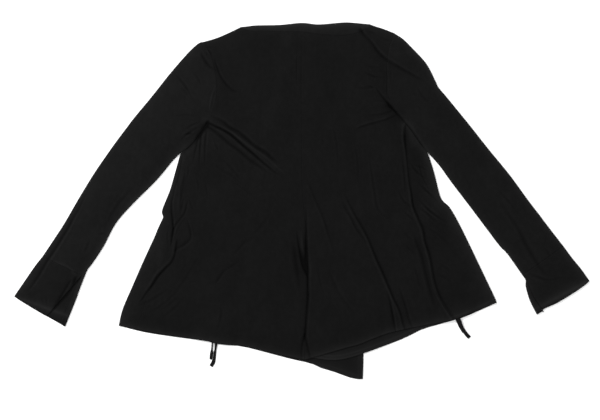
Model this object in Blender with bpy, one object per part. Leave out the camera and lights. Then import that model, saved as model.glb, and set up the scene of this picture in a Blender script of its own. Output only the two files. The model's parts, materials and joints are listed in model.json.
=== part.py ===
"""Draped cardigan in thin black jersey, laid flat on its front with its back to the sky.

Tables and sizes are in millimetres, and every mesh is turned into metres as it is made.
X runs across the back to the wearer's right, Y runs from the hem to the neck, and Z is
the height above the surface that the cardigan lies on.  The lower layer of cloth rests
on that surface.  The upper layer follows one height formula, so that pieces which meet
at a seam have the same height along it.
"""
import math

import bpy
import bmesh
import numpy as np

MM = 0.001

# Cloth and seams
WALL = 1.2
SEAM_GAP = 0.3
LAYER = WALL + SEAM_GAP

# Heights of the middle of the cloth
LOW_Z = WALL / 2
EDGE_Z = 2.2
TURN_RADIUS = (EDGE_Z - LOW_Z) / 2
TURN_REACH = TURN_RADIUS + WALL / 2
LOFT = 3.4
LOFT_WIDTH = 22.0
FOLD_FADE = 9.0
TOP_LIMIT = 5.9
TURN_ANGLES = (45.0, 0.0, -45.0)

# Rows and columns of the pieces
UNDERARM_SHARE = 0.274
FIRST_STRIP_ROW = 0.012
ARMHOLE_STEPS = 9
BODY_STEPS = 19
SLEEVE_STEPS = 19
CUFF_STEPS = 4
STRIP_STEPS = 3
BACK_COLUMNS = (5, 1, 10)
CENTRE_BUNCH = 1.4
FRONT_COLUMNS = 13
FLAP_COLUMNS = 8
UNDER_COLUMNS = 6
TONGUE_COLUMNS = 1
COLLAR_COLUMNS = 2

# Where the back's grid lines from the end of the shoulder and of the neckline meet the hem
NECK_LINES_AT_HEM = (165.0, 140.0)

# Columns: x, y.  Each line runs from the neck or the shoulder towards the hem.
ARMHOLE = {
    "left": [(-197, 318), (-181, 286), (-173, 250), (-171, 218), (-177, 188), (-191, 158)],
    "right": [(184, 335), (173, 302), (169, 266), (169, 226), (179, 194), (206, 156)],
}
SIDE_SEAM = {
    "left": [(-191, 158), (-205, 122), (-231, 90), (-246, 58), (-252, 22), (-258, -28),
             (-261, -78), (-283, -134), (-308, -186), (-331, -257)],
    "right": [(206, 156), (207, 126), (211, 98), (215, 62), (219, 12), (225, -24),
              (241, -68), (255, -122), (263, -174), (277, -202), (301, -238)],
}
SIDE_FOLD = {
    "left": [(-191, 158), (-195, 151), (-204, 136), (-218, 117), (-231, 104), (-243, 96),
             (-253.5, 62), (-265, 22), (-281, -19), (-279, -32), (-283, -42), (-290, -57),
             (-297, -74), (-319, -122), (-340, -170), (-360, -217), (-368, -250)],
    "right": [(206, 156), (210, 151), (215, 145), (227, 128), (239, 111), (242, 107),
              (250, 97), (263, 58), (272, 22), (279, 2), (295, -14), (315, -49),
              (339, -98), (362, -146), (384, -192), (389, -204)],
}
CENTRE_BACK = [(-2, 338), (-2, 250), (-2, 162), (-1, 42), (3, -18), (10, -78), (10, -142),
               (9, -198), (4, -280), (5, -318)]
SHOULDER = {
    "left": [(-197, 318), (-173, 325), (-149, 335), (-124, 347)],
    "right": [(184, 335), (161, 344), (148, 348), (137, 352)],
}
NECKLINE = {
    "left": [(-122, 345.5), (-101, 340), (-77, 340), (-35, 338), (-2, 338)],
    "right": [(134, 349.5), (123, 342), (105, 334), (75, 330), (35, 333), (-2, 338)],
}
COLLAR_FOLD = [(-126, 347.5), (-110, 349), (-93, 351), (-45, 352), (-2, 356), (30, 353),
               (60, 355), (87, 357), (115, 355), (136, 353)]
BACK_HEM = {
    "left": [(-331, -257), (-257, -271), (-193, -279), (-170, -284), (-140, -288),
             (-113, -291), (-49, -307), (5, -318)],
    "right": [(301, -238), (255, -247), (219, -254), (175, -264), (145, -274), (113, -287),
              (87, -294), (39, -308), (5, -318)],
}
FRONT_EDGE = {
    "left": [(-127, 345), (-66, 296), (-2, 254), (11, 222), (51, 122), (85, 2), (107, -118),
             (118, -238), (122, -304), (121, -357)],
    "right": [(138, 351), (96, 314), (52, 284), (-2, 254), (-11, 222), (-35, 122), (-57, 2),
              (-73, -118), (-81, -198), (-81, -284)],
}
FRONT_HEM = {
    "left": [(-368, -250), (-305, -265), (-193, -281), (-170, -287), (-140, -290),
             (-113, -293), (-25, -316), (15, -325), (38, -335), (62, -342), (95, -354),
             (110, -357), (121, -357)],
    "right": [(389, -204), (351, -221), (320, -234), (271, -248), (239, -257.5), (206, -274),
              (176, -286), (122, -305.5), (91, -315), (65, -319), (31, -316), (-25, -303),
              (-81, -284)],
}

# Columns: x and y of the outer fold, x and y of the inner fold, share of the armhole's curve
SLEEVE = {
    "left": [(-197, 318, -191, 158, 1.00),
             (-208, 315, -195, 151, 0.93),
             (-229, 296, -204, 136, 0.80),
             (-264, 256, -218, 117, 0.50),
             (-299, 212, -231, 104, 0.25),
             (-337, 166, -243, 96, 0.10),
             (-353, 145, -260, 79.5, 0.06),
             (-379, 110, -291, 42, 0.00),
             (-415, 58, -339, -6, 0.00),
             (-447, 6, -373, -45, 0.00),
             (-476, -44, -398, -91.5, 0.00),
             (-500, -81, -420, -125, 0.00),
             (-510, -96, -430, -138, 0.00),
             (-520, -111, -436, -152, 0.00)],
    "right": [(184, 335, 206, 156, 1.00),
              (200, 324.5, 210, 151, 0.91),
              (215, 310, 215, 145, 0.80),
              (247, 275, 227, 128, 0.50),
              (266, 239, 239, 111, 0.25),
              (271.5, 227.5, 242, 107, 0.20),
              (292, 203, 250, 97, 0.10),
              (332, 154, 274.5, 69.5, 0.00),
              (374, 101, 297.5, 37.5, 0.00),
              (415, 51, 336, -13, 0.00),
              (450, 3, 372, -61, 0.00),
              (473, -27, 394.5, -90.5, 0.00),
              (488, -47, 411, -108, 0.00),
              (522, -91, 440, -149, 0.00)],
}
# Columns: x and y of the outer fold, x and y of the inner fold, where the slit opens on the
# back of the cuff and where it ends, both as a share of the way from outer to inner fold,
# how far the row bows out beyond its ends, how far the tongue past the slit reaches out,
# and how far the flap draws back beside the slit
CUFF = {
    "left": [(-520, -111, -436, -152, 0.925, 0.940, 0, 0, 0),
             (-535, -130, -445, -175, 0.860, 0.925, 0, 0, 0),
             (-553, -156, -454, -200, 0.770, 0.915, 0, 0, 0),
             (-577, -191, -475, -252, 0.640, 0.900, 1.5, 0, 0)],
    "right": [(522, -91, 440, -149, 0.955, 0.968, 0, 0, 0),
              (528, -99, 446.5, -159, 0.947, 0.960, 0, 0, 0),
              (539, -114, 447, -173, 0.930, 0.944, 0, 0, 0),
              (557, -136, 455, -200, 0.902, 0.916, 1, 1, 1),
              (574, -160, 469, -228, 0.868, 0.882, 3.5, 3, 3)],
}

# The bow is nearer to the outer fold for values under 1
BOW_BIAS = 0.6
# How far from the slit the drawing back reaches, as a share of the width
DRAW_BACK_SPREAD = 0.16

# A fold's height fades over this share of its line at each end, from this start
FOLD_END_SHARE = 0.2
FOLD_END_START = 0.15
FOLD_REACH = 3

# Columns: height (minus for a furrow), half width, then the x, y of its line
FOLDS = {
    "centre_pleat": (-3.0, 9, [(6, 0), (10, -68), (10, -138), (9, -198), (5, -288), (6, -316)]),
    "centre_ridge_left": (1.0, 12, [(-22, -20), (-16, -90), (-12, -160), (-18, -250)]),
    "centre_ridge_right": (1.0, 13, [(34, -10), (36, -80), (34, -160), (28, -260)]),
    "underarm_upper": (-2.2, 8, [(-186, 168), (-139, 142), (-99, 116), (-53, 80)]),
    "underarm_ridge": (0.9, 8, [(-176, 148), (-130, 126), (-88, 96), (-46, 62)]),
    "underarm_lower": (-2.2, 8, [(-186, 142), (-139, 108), (-85, 70), (-37, 40)]),
    "side_left": (-2.0, 9, [(-244, 78), (-254, 22), (-259, -28), (-259, -78), (-283, -130),
                            (-311, -182)]),
    "diagonal_long": (-2.4, 9, [(71, 30), (89, -10), (113, -50), (137, -92), (161, -134),
                                (181, -182), (205, -256)]),
    "diagonal_ridge": (1.0, 11, [(92, 22), (116, -28), (142, -74), (166, -116), (190, -176)]),
    "diagonal_short": (-1.8, 9, [(17, 26), (37, -18), (61, -84), (89, -174)]),
    "side_right": (-2.4, 9, [(207, 136), (213, 82), (219, 22), (225, -24), (241, -68),
                             (255, -122), (263, -174), (277, -202), (299, -232)]),
    "side_right_ridge": (1.0, 10, [(196, 90), (200, 20), (208, -40), (226, -98), (240, -160)]),
    "shoulder_right": (-2.4, 10, [(115, 334), (135, 314), (157, 292), (185, 270), (215, 254),
                                  (247, 240)]),
    "shoulder_ridge": (1.0, 12, [(146, 328), (170, 306), (200, 288), (228, 268)]),
    "sleeve_left_edge": (-1.6, 8, [(-400, 56), (-445, -14), (-493, -90), (-536, -158)]),
    "sleeve_left_bend": (-1.4, 11, [(-336, 46), (-370, 0), (-405, -62)]),
    "sleeve_right_bend": (-1.4, 11, [(363, 60), (399, 2), (435, -74), (478, -136)]),
}

# Ties: flat strips.  Columns: x, y, z of the middle of the strip, its width
TIE_ROUTE = {
    "tie_left_short": [(-179.8, -258, 2.2, 5.0), (-180, -270, 2.2, 4.6), (-180.2, -282, 2.2, 3.4),
                       (-180.8, -290, 1.9, 2.8), (-181.2, -297, 1.1, 3.6), (-181.9, -304, 0.7, 6.0),
                       (-182.5, -311, 0.7, 6.6), (-183.2, -317.6, 0.7, 5.6)],
    "tie_left_long": [(-171.6, -258, 2.2, 6.0), (-172, -270, 2.2, 6.0), (-172.6, -283, 2.2, 6.0),
                      (-173.4, -291, 1.8, 4.8), (-174.2, -298, 1.1, 4.4), (-175.4, -304, 0.7, 5.8),
                      (-175.8, -311, 0.7, 5.6), (-176.5, -316, 0.7, 5.6), (-178, -321.5, 0.7, 7.4),
                      (-180.2, -326.5, 0.7, 7.6), (-183.4, -331.2, 0.7, 7.4)],
    "tie_right_short": [(301, -219.5, 2.2, 6.4), (305.4, -228.6, 2.2, 6.6),
                        (309.8, -237.7, 2.2, 7.0), (312.8, -244, 1.5, 7.0),
                        (315.6, -250.3, 0.8, 7.0), (319, -256.5, 0.7, 6.6),
                        (323, -263, 0.7, 6.2)],
    "tie_right_long": [(304.4, -218.8, 3.8, 6.8), (308.7, -228, 3.8, 7.0), (313, -237.3, 3.8, 7.2),
                       (316, -245.8, 3.1, 7.2), (319.2, -254, 2.35, 7.2),
                       (324.4, -262.5, 2.3, 7.2), (329.6, -269, 1.6, 7.3),
                       (334.6, -274, 1.0, 7.4)],
}
TIE_LIFT = 3.4
TIE_ROOTS = [(-176, -272), (307, -224)]

# Hidden part of the collar: its width below the fold at the ends and at the middle
COLLAR_FLAP_END = 2.5
COLLAR_FLAP_MIDDLE = 22.0

# Half the space between a sleeve and the body where they lie side by side
CREVICE_HALF = 0.8

# Where layers lie on each other, the upper one stays up this far past the lower one's edge
OVERLAP_HOLD = 26.0
OVERLAP_END = 50.0

# Places measured against a line in one go, and the share of a line that shows its direction
PLACES_AT_ONCE = 4000
DIRECTION_SHARE = 0.01

BLACK_JERSEY = (0.0095, 0.0095, 0.0100, 1.0)
JERSEY_ROUGHNESS = 0.85


def clear_scene():
    for thing in list(bpy.data.objects):
        bpy.data.objects.remove(thing, do_unlink=True)


def smoothstep(value):
    value = np.clip(value, 0.0, 1.0)
    return value * value * (3.0 - 2.0 * value)


def held_up(distance):
    """1 on the lower layer and near it, falling to 0 farther off."""
    return 1.0 - smoothstep((distance - OVERLAP_HOLD) / (OVERLAP_END - OVERLAP_HOLD))


def curve_through(rows, steps=8):
    """Points on a smooth curve through the rows of a table."""
    knots = np.array(rows, float)
    first = 2 * knots[0] - knots[1]
    last = 2 * knots[-1] - knots[-2]
    knots = np.vstack([first, knots, last])
    share = np.linspace(0, 1, steps, endpoint=False)[:, None]
    points = []
    for a, b, c, d in zip(knots, knots[1:], knots[2:], knots[3:]):
        bend = 2 * a - 5 * b + 4 * c - d
        twist = 3 * b - a - 3 * c + d
        points.append(b + 0.5 * ((c - a) * share + bend * share**2 + twist * share**3))
    points.append(knots[-2:-1])
    return np.vstack(points)


class Line:
    """A smooth line in the plan, read by the share of its length or by x."""

    def __init__(self, rows):
        self.points = curve_through(rows)
        steps = np.linalg.norm(np.diff(self.points[:, :2], axis=0), axis=1)
        self.share = np.concatenate([[0.0], np.cumsum(steps)]) / steps.sum()

    def at(self, share):
        columns = [np.interp(share, self.share, column) for column in self.points.T]
        return np.stack(columns, axis=-1)

    def y_at(self, x):
        order = np.argsort(self.points[:, 0])
        return np.interp(x, self.points[order, 0], self.points[order, 1])

    def left_of(self, share):
        """Unit vectors to the left of the way along the line."""
        ahead = self.at(np.clip(share + DIRECTION_SHARE, DIRECTION_SHARE, 1))
        behind = self.at(np.clip(share - DIRECTION_SHARE, 0, 1 - DIRECTION_SHARE))
        along = ahead - behind
        along = along / np.linalg.norm(along, axis=-1, keepdims=True)
        return np.stack([-along[..., 1], along[..., 0]], axis=-1)


def nearest(places, path):
    """Distance to a path, its side (1 on the left) and the share of the way along it."""
    start = path[:-1]
    step = np.diff(path, axis=0)
    length2 = (step**2).sum(axis=1)
    travelled = np.concatenate([[0.0], np.cumsum(np.sqrt(length2))])
    distance = np.empty(len(places))
    side = np.empty(len(places))
    share = np.empty(len(places))
    for low in range(0, len(places), PLACES_AT_ONCE):
        part = slice(low, low + PLACES_AT_ONCE)
        offset = places[part, None, :] - start[None]
        along = np.clip((offset * step).sum(axis=2) / length2, 0.0, 1.0)
        away = offset - along[..., None] * step
        gap = np.linalg.norm(away, axis=2)
        best = gap.argmin(axis=1)
        pick = np.arange(len(best))
        turn = step[best, 0] * away[pick, best, 1] - step[best, 1] * away[pick, best, 0]
        distance[part] = gap[pick, best]
        side[part] = np.where(turn >= 0, 1.0, -1.0)
        way = travelled[best] + along[pick, best] * np.sqrt(length2[best])
        share[part] = way / travelled[-1]
    return distance, side, share


LINES = {
    "armhole": {side: Line(ARMHOLE[side]) for side in ARMHOLE},
    "seam": {side: Line(SIDE_SEAM[side]) for side in SIDE_SEAM},
    "fold": {side: Line(SIDE_FOLD[side]) for side in SIDE_FOLD},
    "shoulder": {side: Line(SHOULDER[side]) for side in SHOULDER},
    "neckline": {side: Line(NECKLINE[side]) for side in NECKLINE},
    "back_hem": {side: Line(BACK_HEM[side]) for side in BACK_HEM},
    "front_edge": {side: Line(FRONT_EDGE[side]) for side in FRONT_EDGE},
    "front_hem": {side: Line(FRONT_HEM[side]) for side in FRONT_HEM},
    "sleeve": {side: Line(SLEEVE[side]) for side in SLEEVE},
    "cuff": {side: Line(CUFF[side]) for side in CUFF},
}
CENTRE_LINE = Line(CENTRE_BACK)
COLLAR_LINE = Line(COLLAR_FOLD)


def upper_outline():
    """The closed edge of the upper layer: neck, sleeves, sides and back hem."""
    run = []
    for side in ("left", "right"):
        sleeve = LINES["sleeve"][side].points
        cuff = LINES["cuff"][side].points
        half = [LINES["shoulder"][side].points[::-1], sleeve[:, :2], cuff[:, :2],
                cuff[::-1, 2:4], sleeve[::-1, 2:4], LINES["fold"][side].points,
                LINES["back_hem"][side].points]
        run.append(np.vstack(half))
    closed = np.vstack([run[0], run[1][::-1], COLLAR_LINE.points[::-1]])
    closed = np.vstack([closed, closed[:1]])
    moved = np.linalg.norm(np.diff(closed, axis=0), axis=1) > 0.01
    return closed[np.concatenate([moved, [True]])]


OUTLINE = upper_outline()


def off_panel(places, side):
    """How far each place is from the ground that a front panel covers, past its free edge."""
    distance, turn, _ = nearest(places, LINES["front_edge"][side].points)
    covered = turn < 0 if side == "left" else turn > 0
    return np.where(covered, 0.0, distance)


def front_lift(places):
    """How far the right front is raised by the left front under it."""
    return LAYER * held_up(off_panel(places, "left"))


def fold_heights(places):
    """The sum of the folds, each fading out at both ends of its line."""
    total = np.zeros(len(places))
    for height, half_width, rows in FOLDS.values():
        path = curve_through(rows)
        reach = FOLD_REACH * half_width
        low = path.min(axis=0) - reach
        high = path.max(axis=0) + reach
        near = np.all((places > low) & (places < high), axis=1)
        if not near.any():
            continue
        distance, _, share = nearest(places[near], path)
        ends = smoothstep(np.minimum(share, 1 - share) / FOLD_END_SHARE + FOLD_END_START)
        total[near] += height * ends * np.exp(-(distance / half_width) ** 2)
    return total


def upper_z(places):
    """Height of the middle of the upper layer."""
    flat = places.reshape(-1, 2)
    inside = nearest(flat, OUTLINE)[0] - TURN_REACH
    inside = np.maximum(inside, 0.0)
    raised = front_lift(flat) * held_up(off_panel(flat, "right"))
    lift = np.zeros(len(flat))
    for root in TIE_ROOTS:
        lift += TIE_LIFT * held_up(np.linalg.norm(flat - np.array(root), axis=1))
    floor = EDGE_Z + raised + lift
    loft = LOFT * (1 - np.exp(-(inside / LOFT_WIDTH) ** 2)) * (1 - lift / TIE_LIFT)
    height = floor + loft + fold_heights(flat) * smoothstep(inside / FOLD_FADE)
    height = np.clip(height, floor, np.maximum(TOP_LIMIT + raised, floor))
    return height.reshape(places.shape[:-1])


def upper_points(places):
    """Points and outward directions of the upper layer above places in the plan."""
    step = 0.5
    z = upper_z(places)
    slope_x = (upper_z(places + [step, 0]) - upper_z(places - [step, 0])) / (2 * step)
    slope_y = (upper_z(places + [0, step]) - upper_z(places - [0, step])) / (2 * step)
    normal = np.stack([-slope_x, -slope_y, np.ones_like(z)], axis=-1)
    normal /= np.linalg.norm(normal, axis=-1, keepdims=True)
    return np.concatenate([places, z[..., None]], axis=-1), normal


def lower_points(places, z):
    """Points and outward directions of the lower layer, which faces the surface."""
    z = np.broadcast_to(z, places.shape[:-1])
    normal = np.zeros(places.shape[:-1] + (3,))
    normal[..., 2] = -1.0
    return np.concatenate([places, z[..., None]], axis=-1), normal


def turn_points(edge, outward, angles):
    """Points round a fold, whose outermost line is edge, from upper to lower layer."""
    points = []
    normals = []
    for angle in np.radians(angles):
        level = np.zeros(edge.shape[:-1] + (1,))
        normal = np.concatenate([outward * math.cos(angle), level + math.sin(angle)], axis=-1)
        centre = np.concatenate([edge - outward * TURN_REACH, level + LOW_Z + TURN_RADIUS],
                                axis=-1)
        points.append(centre + normal * TURN_RADIUS)
        normals.append(normal)
    return np.stack(points, axis=1), np.stack(normals, axis=1)


def make_material(name):
    material = bpy.data.materials.new(name)
    material.use_nodes = True
    shader = material.node_tree.nodes["Principled BSDF"]
    shader.inputs["Base Color"].default_value = BLACK_JERSEY
    shader.inputs["Roughness"].default_value = JERSEY_ROUGHNESS
    shader.inputs["Metallic"].default_value = 0.0
    material.diffuse_color = BLACK_JERSEY
    return material


def add_mesh(name, vertices, faces):
    mesh = bpy.data.meshes.new(name)
    mesh.from_pydata([tuple(vertex) for vertex in vertices], [], faces)
    work = bmesh.new()
    work.from_mesh(mesh)
    bmesh.ops.recalc_face_normals(work, faces=work.faces)
    work.to_mesh(mesh)
    work.free()
    piece = bpy.data.objects.new(name, mesh)
    piece.data.materials.append(make_material(name))
    bpy.context.scene.collection.objects.link(piece)
    return piece


def add_wall(name, points, normals, present=None, ring=False):
    """A closed solid of cloth: a grid of points with half the wall on either side of it."""
    rows, columns = points.shape[:2]
    if present is None:
        present = np.ones((rows - 1, columns if ring else columns - 1), bool)
    quads = []
    for row, column in np.argwhere(present):
        after = (column + 1) % columns
        quads.append((row * columns + column, (row + 1) * columns + column,
                      (row + 1) * columns + after, row * columns + after))
    used = sorted({corner for quad in quads for corner in quad})
    place = {corner: index for index, corner in enumerate(used)}
    count = len(used)
    outer = (points + normals * WALL / 2).reshape(-1, 3)[used]
    inner = (points - normals * WALL / 2).reshape(-1, 3)[used]
    quads = [tuple(place[corner] for corner in quad) for quad in quads]
    edges = {(quad[i], quad[(i + 1) % 4]) for quad in quads for i in range(4)}
    faces = list(quads)
    faces += [tuple(corner + count for corner in reversed(quad)) for quad in quads]
    rims = sorted(edge for edge in edges if (edge[1], edge[0]) not in edges)
    faces += [(b, a, a + count, b + count) for a, b in rims]
    return add_mesh(name, np.vstack([outer, inner]) * MM, faces)


def body_rows():
    armhole = np.linspace(0, UNDERARM_SHARE, ARMHOLE_STEPS + 1)
    below = np.linspace(UNDERARM_SHARE, 1, BODY_STEPS + 1)[1:]
    return np.concatenate([armhole, [UNDERARM_SHARE + FIRST_STRIP_ROW], below])


def armhole_then(side, lower, rows):
    """Points down a side: the armhole above the underarm, then the lower line."""
    above = LINES["armhole"][side].at(rows / UNDERARM_SHARE)
    below = LINES[lower][side].at((rows - UNDERARM_SHARE) / (1 - UNDERARM_SHARE))
    return np.where((rows <= UNDERARM_SHARE)[:, None], above, below)


def away_from_side(side, lower, rows):
    """Unit vectors from the side lines towards the middle of the body."""
    sign = 1.0 if side == "left" else -1.0
    above = LINES["armhole"][side].left_of(rows / UNDERARM_SHARE)
    below = LINES[lower][side].left_of((rows - UNDERARM_SHARE) / (1 - UNDERARM_SHARE))
    return sign * np.where((rows <= UNDERARM_SHARE)[:, None], above, below)


def spread(start, end, count, bunch=1.0):
    """A grid of places between two lines of points, closer together near the end line."""
    share = 1 - (1 - np.linspace(0, 1, count + 1)) ** bunch
    share = share[None, :, None]
    return start[:, None] * (1 - share) + end[:, None] * share


def fit_ends(grid, rows, top, hem):
    """Bend a grid so that its first row lies on the top line and its last on the hem."""
    top_shift = top(grid[0, :, 0]) - grid[0, :, 1]
    hem_shift = hem(grid[-1, :, 0]) - grid[-1, :, 1]
    grid[:, :, 1] += (1 - rows)[:, None] * top_shift + rows[:, None] * hem_shift
    return grid


def neck_lines(side, rows):
    """Two lines of places from the ends of the shoulder and the neckline to the hem."""
    sign = -1.0 if side == "left" else 1.0
    hem_x = sign * np.array(NECK_LINES_AT_HEM)
    tops = [LINES["shoulder"][side].points[-1], LINES["neckline"][side].points[0]]
    lines = []
    for top, x in zip(tops, hem_x):
        hem = np.array([x, LINES["back_hem"][side].y_at(x)])
        lines.append(top + (hem - top) * rows[:, None])
    return lines


def back_places(side):
    """Plan of half of the back: from armhole and side seam to the centre back."""
    rows = body_rows()
    outer = armhole_then(side, "seam", rows)
    outer = outer + away_from_side(side, "seam", rows) * SEAM_GAP / 2
    toward = -CENTRE_LINE.left_of(rows) if side == "left" else CENTRE_LINE.left_of(rows)
    centre = CENTRE_LINE.at(rows) + toward * SEAM_GAP / 2
    first, second = neck_lines(side, rows)
    hem = LINES["back_hem"][side].y_at
    shoulder = fit_ends(spread(outer, first, BACK_COLUMNS[0]), rows,
                        LINES["shoulder"][side].y_at, hem)
    corner = spread(first, second, BACK_COLUMNS[1])
    neck = fit_ends(spread(second, centre, BACK_COLUMNS[2], CENTRE_BUNCH), rows,
                    LINES["neckline"][side].y_at, hem)
    return np.concatenate([shoulder, corner[:, 1:-1], neck], axis=1)


def add_back(side):
    points, normals = upper_points(back_places(side))
    return add_wall("back_" + side, points, normals)


def front_places(side):
    """Plan of the lower layer of a front, from its free edge to its side."""
    rows = body_rows()
    free = LINES["front_edge"][side].at(rows)
    fold_rows = rows > UNDERARM_SHARE
    outer = armhole_then(side, "fold", rows)
    inward = away_from_side(side, "fold", rows)
    fold_inset = TURN_REACH + CREVICE_HALF
    outer = outer + inward * np.where(fold_rows, fold_inset, SEAM_GAP / 2)[:, None]
    grid = spread(free, outer, FRONT_COLUMNS)
    hem = LINES["front_hem"][side].y_at
    return fit_ends(grid, rows, LINES["shoulder"][side].y_at, hem)


def add_front(side):
    """A front: under the body, round the side fold and up to the side seam on the back."""
    rows = body_rows()
    places = front_places(side)
    z = LOW_Z
    if side == "right":
        z = LOW_Z + front_lift(places.reshape(-1, 2)).reshape(places.shape[:-1])
    low, low_normal = lower_points(places, z)
    inward = away_from_side(side, "fold", rows)
    fold = armhole_then(side, "fold", rows) + inward * CREVICE_HALF
    turn, turn_normal = turn_points(fold, -inward, TURN_ANGLES[::-1])
    seam = armhole_then(side, "seam", rows)
    seam = seam - away_from_side(side, "seam", rows) * SEAM_GAP / 2
    strip, strip_normal = upper_points(spread(fold + inward * TURN_REACH, seam, STRIP_STEPS))
    points = np.concatenate([low, turn, strip], axis=1)
    normals = np.concatenate([low_normal, turn_normal, strip_normal], axis=1)
    present = np.ones((len(rows) - 1, points.shape[1] - 1), bool)
    present[:ARMHOLE_STEPS + 1, FRONT_COLUMNS:] = False
    return add_wall("front_" + side, points, normals, present)


def across_sleeve(side, table_row, shares):
    """Places across a sleeve, bowed where it is near the armhole."""
    start, end = table_row[:2], table_row[2:4]
    armhole = LINES["armhole"][side].at(shares)
    bow = armhole - (armhole[0] + (armhole[-1] - armhole[0]) * shares[:, None])
    return start + (end - start) * shares[:, None] + bow * table_row[4]


def pull_in(places, reach):
    """Move both end places of each row towards the middle, off the folds."""
    places = places.copy()
    for end, neighbour in ((0, 1), (-1, -2)):
        step = places[:, neighbour] - places[:, end]
        step /= np.linalg.norm(step, axis=-1, keepdims=True)
        places[:, end] += step * reach
    return places


def fold_direction(places, end, neighbour):
    step = places[:, end] - places[:, neighbour]
    return step / np.linalg.norm(step, axis=-1, keepdims=True)


def sleeve_places(side):
    shares = np.linspace(0, 1, ARMHOLE_STEPS + 1)
    line = LINES["sleeve"][side]
    table = line.at(np.linspace(0, 1, SLEEVE_STEPS + 1))
    places = np.stack([across_sleeve(side, row, shares) for row in table])
    sign = -1.0 if side == "left" else 1.0
    places[0] += sign * LINES["armhole"][side].left_of(shares) * SEAM_GAP / 2
    along = places[-1] - places[-2]
    along /= np.linalg.norm(along, axis=-1, keepdims=True)
    places[-1] -= along * SEAM_GAP / 2
    return pull_in(places, CREVICE_HALF)


def add_sleeve(side):
    """A flattened tube with a round fold at each side."""
    places = sleeve_places(side)
    inner = pull_in(places, TURN_REACH)
    top, top_normal = upper_points(inner)
    low, low_normal = lower_points(inner[:, ::-1], LOW_Z)
    near, near_normal = turn_points(places[:, -1], fold_direction(places, -1, -2), TURN_ANGLES)
    far, far_normal = turn_points(places[:, 0], fold_direction(places, 0, 1),
                                  TURN_ANGLES[::-1])
    points = np.concatenate([top, near, low, far], axis=1)
    normals = np.concatenate([top_normal, near_normal, low_normal, far_normal], axis=1)
    return add_wall("sleeve_" + side, points, normals, ring=True)


def bowed(places, outer, inner, shape):
    """Push the middle of each row out along the sleeve, and draw it back beside the slit."""
    across = inner - outer
    width = np.linalg.norm(across, axis=1)
    share = np.linalg.norm(places - outer[:, None], axis=2) / width[:, None]
    slit, bow, back = shape[:, 0:1], shape[:, 1:2], shape[:, 2:3]
    rise = bow * np.sin(math.pi * np.clip(share, 0, 1) ** BOW_BIAS)
    rise = rise - back * np.exp(-((share - slit) / DRAW_BACK_SPREAD) ** 2)
    outward = np.stack([across[:, 1], -across[:, 0]], axis=-1) / width[:, None]
    outward *= np.sign(-outward[:, 1:2])
    return places + outward[:, None] * rise[:, :, None]


def add_cuff(side):
    """A flared band, open along the slit on its back."""
    table = LINES["cuff"][side].at(np.linspace(0, 1, CUFF_STEPS + 1))
    outer, inner = table[:, :2], table[:, 2:4]
    along = LINES["cuff"][side].at(np.array([DIRECTION_SHARE])) - table[:1]
    along = along[:, :2] / np.linalg.norm(along[:, :2])
    outer[0] += along[0] * SEAM_GAP / 2
    inner[0] += along[0] * SEAM_GAP / 2
    across = inner - outer
    width = np.linalg.norm(across, axis=1, keepdims=True)
    across = across / width
    edge_outer = outer + across * TURN_REACH
    edge_inner = inner - across * TURN_REACH
    slit_start = outer + across * width * table[:, 4:5]
    slit_end = outer + across * width * table[:, 5:6]
    shape = table[:, [4, 6, 8]]
    reach = table[:, 7:8]
    flap = bowed(spread(slit_start, edge_outer, FLAP_COLUMNS), outer, inner, shape)
    flap, flap_normal = upper_points(flap)
    tongue = spread(edge_inner, slit_end, TONGUE_COLUMNS)
    tongue[:, -1] += along[0] * reach
    tongue, tongue_normal = upper_points(tongue)
    low = bowed(spread(edge_outer, edge_inner, UNDER_COLUMNS), outer, inner, shape)
    low, low_normal = lower_points(low, LOW_Z)
    far, far_normal = turn_points(outer, -across, TURN_ANGLES)
    near, near_normal = turn_points(inner, across, TURN_ANGLES[::-1])
    points = np.concatenate([flap, far, low, near, tongue], axis=1)
    normals = np.concatenate([flap_normal, far_normal, low_normal, near_normal,
                              tongue_normal], axis=1)
    return add_wall("cuff_" + side, points, normals)


def neckline_places():
    """Places of both halves of the back along the neckline, from left to right."""
    first = sum(BACK_COLUMNS[:2])
    left = back_places("left")[0, first:]
    right = back_places("right")[0, first:]
    return np.vstack([left, right[::-1][1:]])


def add_collar():
    """A folded band above the neckline, with its lower half hidden under the back."""
    seam = neckline_places() + [0, SEAM_GAP]
    fold = np.stack([seam[:, 0], COLLAR_LINE.y_at(seam[:, 0])], axis=-1)
    outward = np.zeros_like(fold)
    outward[:, 1] = 1.0
    share = np.linspace(0, 1, len(fold))
    flap = COLLAR_FLAP_END + (COLLAR_FLAP_MIDDLE - COLLAR_FLAP_END) * np.sin(share * math.pi)
    start = fold - outward * TURN_REACH
    end = start - outward * flap[:, None]
    top, top_normal = upper_points(spread(seam, start, COLLAR_COLUMNS))
    turn, turn_normal = turn_points(fold, outward, TURN_ANGLES)
    low, low_normal = lower_points(spread(start, end, COLLAR_COLUMNS), LOW_Z)
    points = np.concatenate([top, turn, low], axis=1)
    normals = np.concatenate([top_normal, turn_normal, low_normal], axis=1)
    return add_wall("collar", points, normals)


def strip_edges(table):
    """The two edges of a flat strip, from a table of its middle and its width."""
    route = curve_through(table, steps=2)
    ahead = np.gradient(route[:, :2], axis=0)
    ahead /= np.linalg.norm(ahead, axis=1, keepdims=True)
    aside = np.stack([-ahead[:, 1], ahead[:, 0], np.zeros(len(route))], axis=-1)
    half_width = route[:, 3:4] / 2
    return route[:, :3] + aside * half_width, route[:, :3] - aside * half_width


def add_tie(name):
    """A flat drawstring end that runs out from between the layers on to the surface."""
    points = np.stack(strip_edges(TIE_ROUTE[name]), axis=1)
    normals = np.zeros_like(points)
    normals[..., 2] = 1.0
    return add_wall(name, points, normals)


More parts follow.
